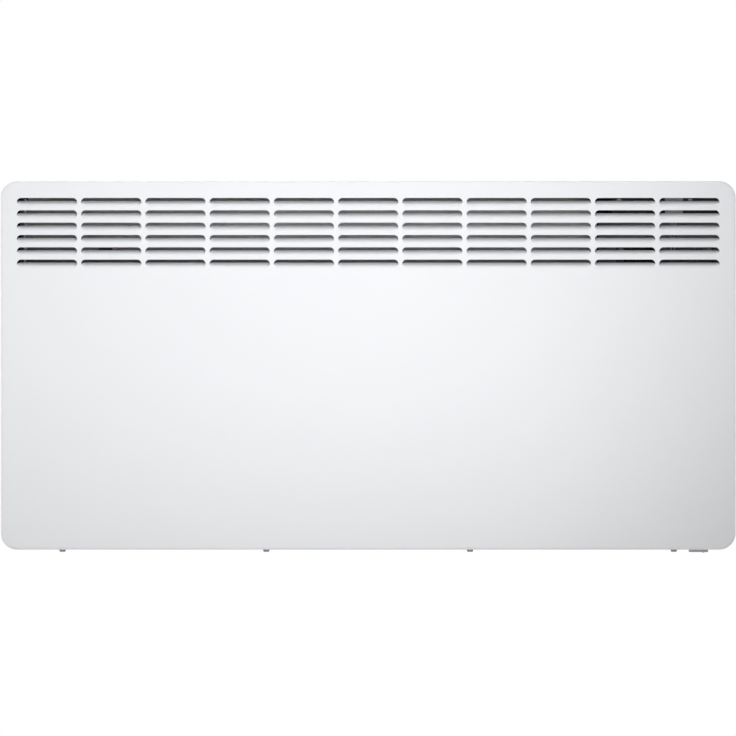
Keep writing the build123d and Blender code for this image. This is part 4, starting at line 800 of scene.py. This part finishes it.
lap_points = []
for side, corner in ((1, bottom_run), (-1, bottom_run + 1)):
    for band in (band_front, band_rear):
        lap_points.append(joined[band + corner] + np.array([side * flange_lap, 0, 0]))
lap_start = len(joined)
joined = np.vstack([joined, lap_points])
lap_faces = [
    (band_rear + bottom_run, lap_start + 1, lap_start, band_front + bottom_run),
    (lap_start + 3, band_rear + bottom_run + 1, band_front + bottom_run + 1, lap_start + 2),
]


def new_piece(name, verts, faces, material, body):
    """A mesh object in the scene, in place, with its material, riding on a body of the frame."""
    mesh = bpy.data.meshes.new(name)
    mesh.from_pydata([tuple(vert) for vert in verts], [], [tuple(int(i) for i in face) for face in faces])
    mesh.validate()
    mesh.materials.append(material)
    piece = bpy.data.objects.new(name, mesh)
    bpy.context.scene.collection.objects.link(piece)
    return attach(piece, body)


weld_distance, least_edge, smooth_angle = 0.005 * mm, 0.001 * mm, 35


def finished_mesh(piece):
    """Welds the piece's seams, applies its modifiers, and shades it smooth up to the angle in degrees."""
    weld = bmesh.new()
    weld.from_mesh(piece.data)
    bmesh.ops.remove_doubles(weld, verts=weld.verts, dist=weld_distance)
    bmesh.ops.dissolve_degenerate(weld, edges=weld.edges, dist=least_edge)
    weld.to_mesh(piece.data)
    weld.free()
    bpy.context.view_layer.update()
    made = bpy.data.meshes.new_from_object(piece.evaluated_get(bpy.context.evaluated_depsgraph_get()))
    piece.modifiers.clear()
    piece.data = made
    made.polygons.foreach_set("use_smooth", np.full(len(made.polygons), True))
    made.set_sharp_from_angle(angle=np.radians(smooth_angle))


enamel = finish(
    "white_enamel",
    grained,
    colour=(0.870, 0.885, 0.905),
    shade=(0.862, 0.877, 0.898),
    grains_per_metre=520.0,
    patches_per_metre=6.0,
    smoothest=0.40,
    roughest=0.44,
    depth=0.035,
)
all_faces = [*np.concatenate(faces), *front_triangles, *top_index[top_triangles], *lap_faces]
front = new_piece("front_casing_sheet", joined + (0, front_y, 0), all_faces, enamel, "heater")
wall = front.modifiers.new("sheet", "SOLIDIFY")
wall.thickness = sheet
wall.offset = -1
finished_mesh(front)
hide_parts("front_casing")


# ---------------------------------------------------------
# Grey black film between the power board and the rear panel, a dark sheet that paints the shade behind the
# board, with round holes for the four stand-offs, and lying on the panel.
# ---------------------------------------------------------
film_sheet = 0.4 * mm
film_left_below = np.array([21, 6]) * mm
film_right_above = np.array([11, 68]) * mm
film_corner = 4 * mm
film_hole_radius, film_hole_sides = 4 * mm, 24
board_hole_inset = 6 * mm
board_low, board_high = np.array(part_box("power_board"))[:, [0, 2]]
panel_face_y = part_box("stand_offs")[1].y

film_low, film_high = board_low - film_left_below, board_high + film_right_above
film_centre = (film_low + film_high) / 2
turn = np.linspace(0, 2 * np.pi, film_hole_sides, endpoint=False)
hole = film_hole_radius * np.column_stack([np.cos(turn), np.sin(turn)])
film_holes = [
    np.where([right, upper], board_high - board_hole_inset, board_low + board_hole_inset)
    for right in (False, True)
    for upper in (False, True)
]
film_outline = rounded_loop(*(film_high - film_low) / 2, film_corner) + film_centre
film_loops = [film_outline] + [hole + centre for centre in film_holes]
film_faces = flat_faces(
    film_loops,
    lambda centres: (np.linalg.norm(centres[:, None] - film_holes, axis=2) < film_hole_radius).any(1),
)
film_points = np.insert(np.concatenate(film_loops), 1, panel_face_y, axis=1)

# The film's grey black stands in for the shade behind the power board.
shade_film_black = finish(
    "painted_shade_film",
    grained,
    colour=(0.230, 0.230, 0.235),
    shade=(0.190, 0.190, 0.195),
    grains_per_metre=900.0,
    patches_per_metre=30.0,
    smoothest=0.42,
    roughest=0.54,
    depth=0.08,
)
film = new_piece("shade_film", film_points, film_faces, shade_film_black, "heater")
wall = film.modifiers.new("sheet", "SOLIDIFY")
wall.thickness = film_sheet
wall.offset = 1
finished_mesh(film)


# ---------------------------------------------------------
# Control unit. Under a smoked window lies a grey green liquid crystal glass with the temperature in seven bar
# figures. Beside it are four soft touch keys, each with a printed mark: three lines, minus, plus and a tick.
# ---------------------------------------------------------
def extruded(outline, low, high):
    """A closed prism: a convex outline of 2D points carried from low to high, as vertices and faces."""
    count = len(outline)
    verts = np.vstack([np.insert(outline, 2, level, axis=1) for level in (low, high)])
    return verts, [*ring_faces(0, count, count), range(count, 2 * count), range(count)[::-1]]


def gathered(parts):
    """Several vertex and face lists as one."""
    verts = [part_verts for part_verts, _ in parts]
    starts = np.cumsum([0] + [len(part_verts) for part_verts in verts])
    faces = [np.array(face) + start for start, (_, part_faces) in zip(starts, parts) for face in part_faces]
    return np.vstack(verts), faces


def bar(start, end, width, point=0.0):
    """Outline of a straight bar between two 2D points, with its ends drawn out by point to tips."""
    start, end = np.array(start, float), np.array(end, float)
    ahead = (end - start) / np.linalg.norm(end - start)
    beside = np.array([-ahead[1], ahead[0]]) * width / 2
    tips = ([start - ahead * point], [end + ahead * point]) if point else ([], [])
    return [*tips[0], start - beside, end - beside, *tips[1], end + beside, start + beside]


def bent_bar(line, width):
    """Outline of a bar along a line of three 2D points. At the bend its edges meet on the mean of both runs'
    normals, half the width divided by the cosine of half the turn away from the line."""
    first, middle, last = np.array(line, float)
    runs = (middle - first, last - middle)
    normals = [np.array([-run[1], run[0]]) / np.linalg.norm(run) for run in runs]
    mean = normals[0] + normals[1]
    sides = np.array([normals[0], 2 * mean / (mean @ mean), normals[1]]) * width / 2
    return [*(line - sides), *(line + sides)[::-1]]


def placed(verts, origin, across=(1, 0, 0), up=(0, 1, 0), out=(0, 0, 1)):
    """Vertices given along three directions, put at an origin."""
    return np.array(verts) @ np.array([across, up, out], float) + np.array(origin)


smoked_window = finish(
    "smoked_window",
    grained,
    colour=(0.50, 0.52, 0.54),
    shade=(0.47, 0.49, 0.51),
    grains_per_metre=300.0,
    patches_per_metre=40.0,
    smoothest=0.06,
    roughest=0.09,
    depth=0.01,
)
smoked_window.node_tree.nodes["Principled BSDF"].inputs["Transmission Weight"].default_value = 0.85
display_case = finish(
    "display_case",
    grained,
    colour=(0.10, 0.105, 0.11),
    shade=(0.08, 0.085, 0.09),
    grains_per_metre=1000.0,
    patches_per_metre=60.0,
    smoothest=0.4,
    roughest=0.5,
    depth=0.1,
)
key_grey = finish(
    "key_grey",
    grained,
    colour=(0.40, 0.41, 0.42),
    shade=(0.35, 0.36, 0.37),
    grains_per_metre=1600.0,
    patches_per_metre=60.0,
    smoothest=0.48,
    roughest=0.6,
    depth=0.2,
)
crystal_glass = finish(
    "display_glass",
    grained,
    colour=(0.62, 0.68, 0.57),
    shade=(0.57, 0.63, 0.52),
    grains_per_metre=2500.0,
    patches_per_metre=50.0,
    smoothest=0.18,
    roughest=0.26,
    depth=0.03,
)
print_ink = finish(
    "white_print",
    grained,
    colour=(0.84, 0.84, 0.83),
    shade=(0.76, 0.76, 0.75),
    grains_per_metre=4000.0,
    patches_per_metre=300.0,
    smoothest=0.45,
    roughest=0.6,
    depth=0.1,
)
figure_ink = finish(
    "dark_figure",
    grained,
    colour=(0.020, 0.022, 0.020),
    shade=(0.030, 0.032, 0.030),
    grains_per_metre=4000.0,
    patches_per_metre=300.0,
    smoothest=0.3,
    roughest=0.4,
    depth=0.05,
)
dress(smoked_window, "display_window")
dress(display_case, "display_module")
dress(key_grey, "button_menu", "button_minus", "button_plus", "button_confirm")

display_low, display_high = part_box("display_module")
display_middle = (display_low + display_high) / 2
display_origin = (display_middle.x, display_middle.y, display_high.z)
glass_half, glass_corner, glass_sunk, glass_top = (18.6 * mm, 7.6 * mm), 1 * mm, 0.2 * mm, 0.2 * mm
glass_verts, glass_faces = extruded(rounded_loop(*glass_half, glass_corner), -glass_sunk, glass_top)
glass_verts = placed(glass_verts, display_origin)
new_piece("display_glass", glass_verts, glass_faces, crystal_glass, "heater")

# A near-black block between the duct wall and the housing's left side: painted shadow where that gap lies in
# shade.
shadow_black = finish(
    "painted_shadow_black",
    grained,
    specular=0.1,
    colour=(0.008, 0.008, 0.008),
    shade=(0.004, 0.004, 0.004),
    grains_per_metre=1100.0,
    patches_per_metre=200.0,
    smoothest=0.85,
    roughest=0.95,
    depth=0.6,
)
block_below_top, block_height, block_depth, block_corner = 3 * mm, 39 * mm, 26 * mm, 2 * mm
block_behind_front, duct_wall_sheet = 2 * mm, 0.8 * mm
housing_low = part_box("control_housing")[0]
block_left = duct_right + duct_wall_sheet
block_half = ((housing_low.x - block_left) / 2, block_height / 2)
block_middle = (
    block_left + block_half[0],
    housing_low.y + block_behind_front + block_depth,
    half_height - block_below_top - block_half[1],
)
block_verts, block_faces = extruded(rounded_loop(*block_half, block_corner), 0, block_depth)
block_verts = placed(block_verts, block_middle, (1, 0, 0), (0, 0, 1), (0, -1, 0))
new_piece("shadow_block", block_verts, block_faces, shadow_black, "heater")

figure_height, figure_width, bar_width, bar_point = 9.6 * mm, 5.2 * mm, 0.9 * mm, 0.45 * mm
bar_gap = 0.55 * mm
figure_places = {"2": -9 * mm, "1": -1 * mm, "5": 8 * mm}
lit_bars = {"2": "abged", "1": "bc", "5": "afgcd"}


def figure(sign, left):
    """The lit bars of a seven bar figure, lettered clockwise from the top with g across the middle."""
    x, half = figure_width / 2, figure_height / 2
    ends = {
        "a": ((-x, half), (x, half)),
        "b": ((x, half), (x, 0)),
        "c": ((x, 0), (x, -half)),
        "d": ((-x, -half), (x, -half)),
        "e": ((-x, 0), (-x, -half)),
        "f": ((-x, half), (-x, 0)),
        "g": ((-x, 0), (x, 0)),
    }
    outlines = []
    for name in lit_bars[sign]:
        start, end = (np.array(point) for point in ends[name])
        ahead = (end - start) / np.linalg.norm(end - start) * (bar_gap + bar_point / 2)
        outlines.append(bar(start + ahead + (left, 0), end - ahead + (left, 0), bar_width, bar_point))
    return outlines


figures = [outline for sign, left in figure_places.items() for outline in figure(sign, left)]
point_x, point_z, point_below, point_above = 3.4 * mm, -figure_height / 2, 0.4 * mm, 0.5 * mm
figures.append(bar((point_x, point_z - point_below), (point_x, point_z + point_above), bar_width))
ink_sunk, ink_proud = 0.02 * mm, 0.08 * mm
figure_parts = [extruded(outline, glass_top - ink_sunk, glass_top + ink_proud) for outline in figures]
figure_verts, figure_faces = gathered(figure_parts)
figure_verts = placed(figure_verts, display_origin)
new_piece("display_figures", figure_verts, figure_faces, figure_ink, "heater")

mark_half, mark_width, line_width, line_step = 2.3 * mm, 0.9 * mm, 0.7 * mm, 1.5 * mm
mark_sunk, mark_proud = 0.05 * mm, 0.06 * mm
tick = [(-2.2 * mm, 0.1 * mm), (-0.7 * mm, -1.5 * mm), (2.3 * mm, 1.7 * mm)]
marks = {
    "button_menu": [bar((-mark_half, y), (mark_half, y), line_width) for y in (-line_step, 0, line_step)],
    "button_minus": [bar((-mark_half, 0), (mark_half, 0), mark_width)],
    "button_plus": [
        bar((-mark_half, 0), (mark_half, 0), mark_width),
        bar((0, mark_width / 2), (0, mark_half), mark_width),
        bar((0, -mark_half), (0, -mark_width / 2), mark_width),
    ],
    "button_confirm": [bent_bar(tick, mark_width)],
}
for button, outlines in marks.items():
    low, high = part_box(button)
    mark_verts, mark_faces = gathered([extruded(outline, -mark_sunk, mark_proud) for outline in outlines])
    mark_verts = placed(mark_verts, ((low.x + high.x) / 2, (low.y + high.y) / 2, high.z))
    new_piece(button + "_mark", mark_verts, mark_faces, print_ink, button)


# ---------------------------------------------------------
# Lid of the mains connection box. Moulded in the same white plastic and snapped on to the box's rear, with a
# raised rim that is chamfered outside and steps down to a sunk field inside.
# ---------------------------------------------------------
box_low, box_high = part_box("connection_box")
box_ear_width, box_corner, least_corner = 9 * mm, 5 * mm, 0.5 * mm
lid_profile = np.array([(0.4, 0.0), (0.4, 0.8), (1.2, 1.3), (4.5, 1.3), (5.1, 1.0)]) * mm
lid_half = np.array([(box_high.x - box_low.x) / 2 - box_ear_width, (box_high.z - box_low.z) / 2])
lid_middle = ((box_low.x + box_high.x) / 2, box_high.y, (box_low.z + box_high.z) / 2)
lid_loops = [
    np.insert(rounded_loop(*(lid_half - inset), max(box_corner - inset, least_corner)), 2, height, axis=1)
    for inset, height in lid_profile
]
lid_count = len(lid_loops[0])
lid_faces = [*np.concatenate(stacked_faces(len(lid_loops), lid_count))]
lid_faces += [np.arange(lid_count) + (len(lid_loops) - 1) * lid_count, np.arange(lid_count)[::-1]]
lid_verts = placed(np.concatenate(lid_loops), lid_middle, (-1, 0, 0), (0, 0, 1), (0, 1, 0))
lid = new_piece("connection_box_lid", lid_verts, lid_faces, white_plastic, "heater")
finished_mesh(lid)


# ---------------------------------------------------------
# Rocker switch under the right end. Pale grey glossy plastic, with a line printed on its on side and a ring
# on its off side. Its two faces meet in a shallow hollow over the pivot, and its off side is lower at rest.
# ---------------------------------------------------------
switch_grey = finish(
    "switch_grey",
    grained,
    colour=(0.50, 0.505, 0.51),
    shade=(0.45, 0.455, 0.46),
    grains_per_metre=1800.0,
    patches_per_metre=60.0,
    smoothest=0.26,
    roughest=0.36,
    depth=0.08,
)
dress(switch_grey, "switch_body", "switch_rocker")

pivot = next(joint for joint in frame["joints"] if joint["name"] == "rocker_turn")["pos_m"]
rocker_tilt = np.radians(9)
rocker_hollow, rocker_end, rocker_reach = 3.3 * mm, 4.64 * mm, 8.6 * mm
face_slope = np.arctan2(rocker_end - rocker_hollow, rocker_reach)
mark_reach = 4.9 * mm
on_half, on_width = 1.7 * mm, 0.7 * mm
ring_radius, ring_width, ring_count = 1.5 * mm, 0.6 * mm, 32


def ring_tube(radius, width, low, high):
    """A flat ring: a rectangle of a given width and height carried round a circle. A corner lies at its
    distance from the middle times the cosine and sine of the turn."""
    turn = np.linspace(0, 2 * np.pi, ring_count, endpoint=False)
    inner, outer = radius - width / 2, radius + width / 2
    verts = [
        np.column_stack([reach * np.cos(turn), reach * np.sin(turn), np.full(ring_count, level)])
        for reach, level in ((inner, low), (outer, low), (outer, high), (inner, high))
    ]
    starts = ring_count * np.arange(len(verts))
    faces = [ring_faces(*pair, ring_count) for pair in zip(starts, np.roll(starts, -1))]
    return np.concatenate(verts), np.concatenate(faces)


hollow = np.array(pivot) + rocker_hollow * np.array([-np.sin(rocker_tilt), 0, -np.cos(rocker_tilt)])
on_mark = extruded(bar((0, -on_half), (0, on_half), on_width), -mark_sunk, mark_proud)
off_mark = ring_tube(ring_radius, ring_width, -mark_sunk, mark_proud)
for side, name, shape in ((-1, "rocker_on_mark", on_mark), (1, "rocker_off_mark", off_mark)):
    angle = rocker_tilt + side * face_slope
    across = np.array([np.cos(angle), 0, -np.sin(angle)])
    down = np.array([-np.sin(angle), 0, -np.cos(angle)])
    middle = hollow + side * mark_reach * across
    mark_verts = placed(shape[0], middle, across, np.cross(down, across), down)
    new_piece(name, mark_verts, shape[1], print_ink, "rocker")


# ---------------------------------------------------------
# Photographer's floor, lamps and camera. A white floor well below the heater fades into a white surround.
# Broad lamps stand in front and behind, weaker ones all round for the folded edges, and the lens is long.
# ---------------------------------------------------------
floor_z, floor_radius, floor_sides = -0.72, 3.0, 96
turn = np.linspace(0, 2 * np.pi, floor_sides, endpoint=False)
floor_rim = floor_radius * np.column_stack([np.cos(turn), np.sin(turn)])
floor_mesh = bpy.data.meshes.new("floor")
floor_mesh.from_pydata(np.insert(floor_rim, 2, floor_z, axis=1).tolist(), [], [range(floor_sides)])
floor = bpy.data.objects.new("floor", floor_mesh)
bpy.context.scene.collection.objects.link(floor)


def seen_directly(tree):
    """1 for what the camera sees by itself, in a reflection or through the window, and 0 for light alone."""
    path = add_node(tree, "LightPath").outputs
    reached = worked(tree, "MAXIMUM", path["Is Camera Ray"], path["Is Glossy Ray"])
    return worked(tree, "MAXIMUM", reached, path["Is Transmission Ray"])


fade_start, fade_end, floor_glow, surround_light = 0.7, 1.6, 0.62, 0.16
floor_white = bpy.data.materials.new("floor_white")
floor_white.use_nodes = True
tree = floor_white.node_tree
shader = tree.nodes["Principled BSDF"]
shader.inputs["Base Color"].default_value = (0.80, 0.80, 0.80, 1)
shader.inputs["Roughness"].default_value = 0.9
shader.inputs["Emission Color"].default_value = (1, 1, 1, 1)
distance = add_node(tree, "VectorMath", {"operation": "LENGTH"}, i0=object_place(tree)).outputs["Value"]
smooth = {"interpolation_type": "SMOOTHSTEP"}
fade = add_node(tree, "MapRange", smooth, Value=distance, From_Min=fade_start, From_Max=fade_end)
seen = seen_directly(tree)
tree.links.new(worked(tree, "MULTIPLY", seen, floor_glow), shader.inputs["Emission Strength"])
surround = add_node(tree, "Emission", Color=(1, 1, 1, 1), Strength=1.0).outputs["Emission"]
far = worked(tree, "MULTIPLY", fade.outputs["Result"], seen)
faded = add_node(tree, "MixShader", Fac=far, i1=shader.outputs["BSDF"], i2=surround)
tree.links.new(faded.outputs["Shader"], tree.nodes["Material Output"].inputs["Surface"])
floor_mesh.materials.append(floor_white)

world = bpy.data.worlds.new("studio")
bpy.context.scene.world = world
world.use_nodes = True
tree = world.node_tree
background = tree.nodes["Background"]
tree.links.new(ranged(tree, seen_directly(tree), surround_light, 1.0), background.inputs["Strength"])
background.inputs["Color"].default_value = (1, 1, 1, 1)


def lamp(name, place, aim, width, height, power):
    """A broad soft lamp at a place, turned towards its aim, that the camera doesn't see."""
    light = bpy.data.lights.new(name, "AREA")
    light.shape = "RECTANGLE"
    light.size, light.size_y, light.energy = width, height, power
    piece = bpy.data.objects.new(name, light)
    piece.location = place
    piece.rotation_mode = "QUATERNION"
    piece.rotation_quaternion = (Vector(aim) - Vector(place)).to_track_quat("-Z", "Y")
    piece.visible_camera = False
    bpy.context.scene.collection.objects.link(piece)


lamp("front_lamp", (-0.084, -0.917, 0.082), (-0.349, -0.1, 0.7), 1.151, 0.834, 6.9)
lamp("high_lamp", (-0.05, -0.5, 0.9), (-0.05, -0.1, 0.1), 1.3, 0.4, 2.1)
lamp("top_lamp", (-0.05, -0.14, 1.1), (-0.05, -0.09, 0.2), 1.0, 0.3, 2.6)
lamp("left_lamp", (-1.3, -0.14, 0.05), (-0.44, -0.08, 0.0), 0.6, 0.6, 3.5)
lamp("right_lamp", (1.3, -0.14, 0.05), (0.44, -0.08, 0.0), 0.6, 0.6, 1.6)
lamp("low_lamp", (0.0, -0.14, -0.66), (0.0, -0.09, -0.22), 1.4, 0.15, 0.32)
lamp("rear_lamp", (-0.7, 1.5, 0.9), (0.0, 0.0, 0.0), 1.4, 1.2, 18.0)
lamp("rear_side_lamp", (1.6, 0.2, 0.7), (0.3, 0.0, 0.0), 0.9, 0.9, 3.0)

photo_pixels, pixel_in_mm = 736, 1.2205
photo_width = photo_pixels * pixel_in_mm * mm
lens, sensor = 300.0, 36.0
camera_x, camera_z = -0.2 * mm, -3.2 * mm
camera = bpy.data.objects.new("camera", bpy.data.cameras.new("camera"))
camera.data.lens, camera.data.sensor_width = lens, sensor
camera.location = (camera_x, front_y - photo_width * lens / sensor, camera_z)
camera.rotation_euler = (np.pi / 2, 0, 0)
camera.data.clip_end = 100
bpy.context.scene.collection.objects.link(camera)
bpy.context.scene.camera = camera
bpy.context.scene.view_settings.view_transform = "Standard"
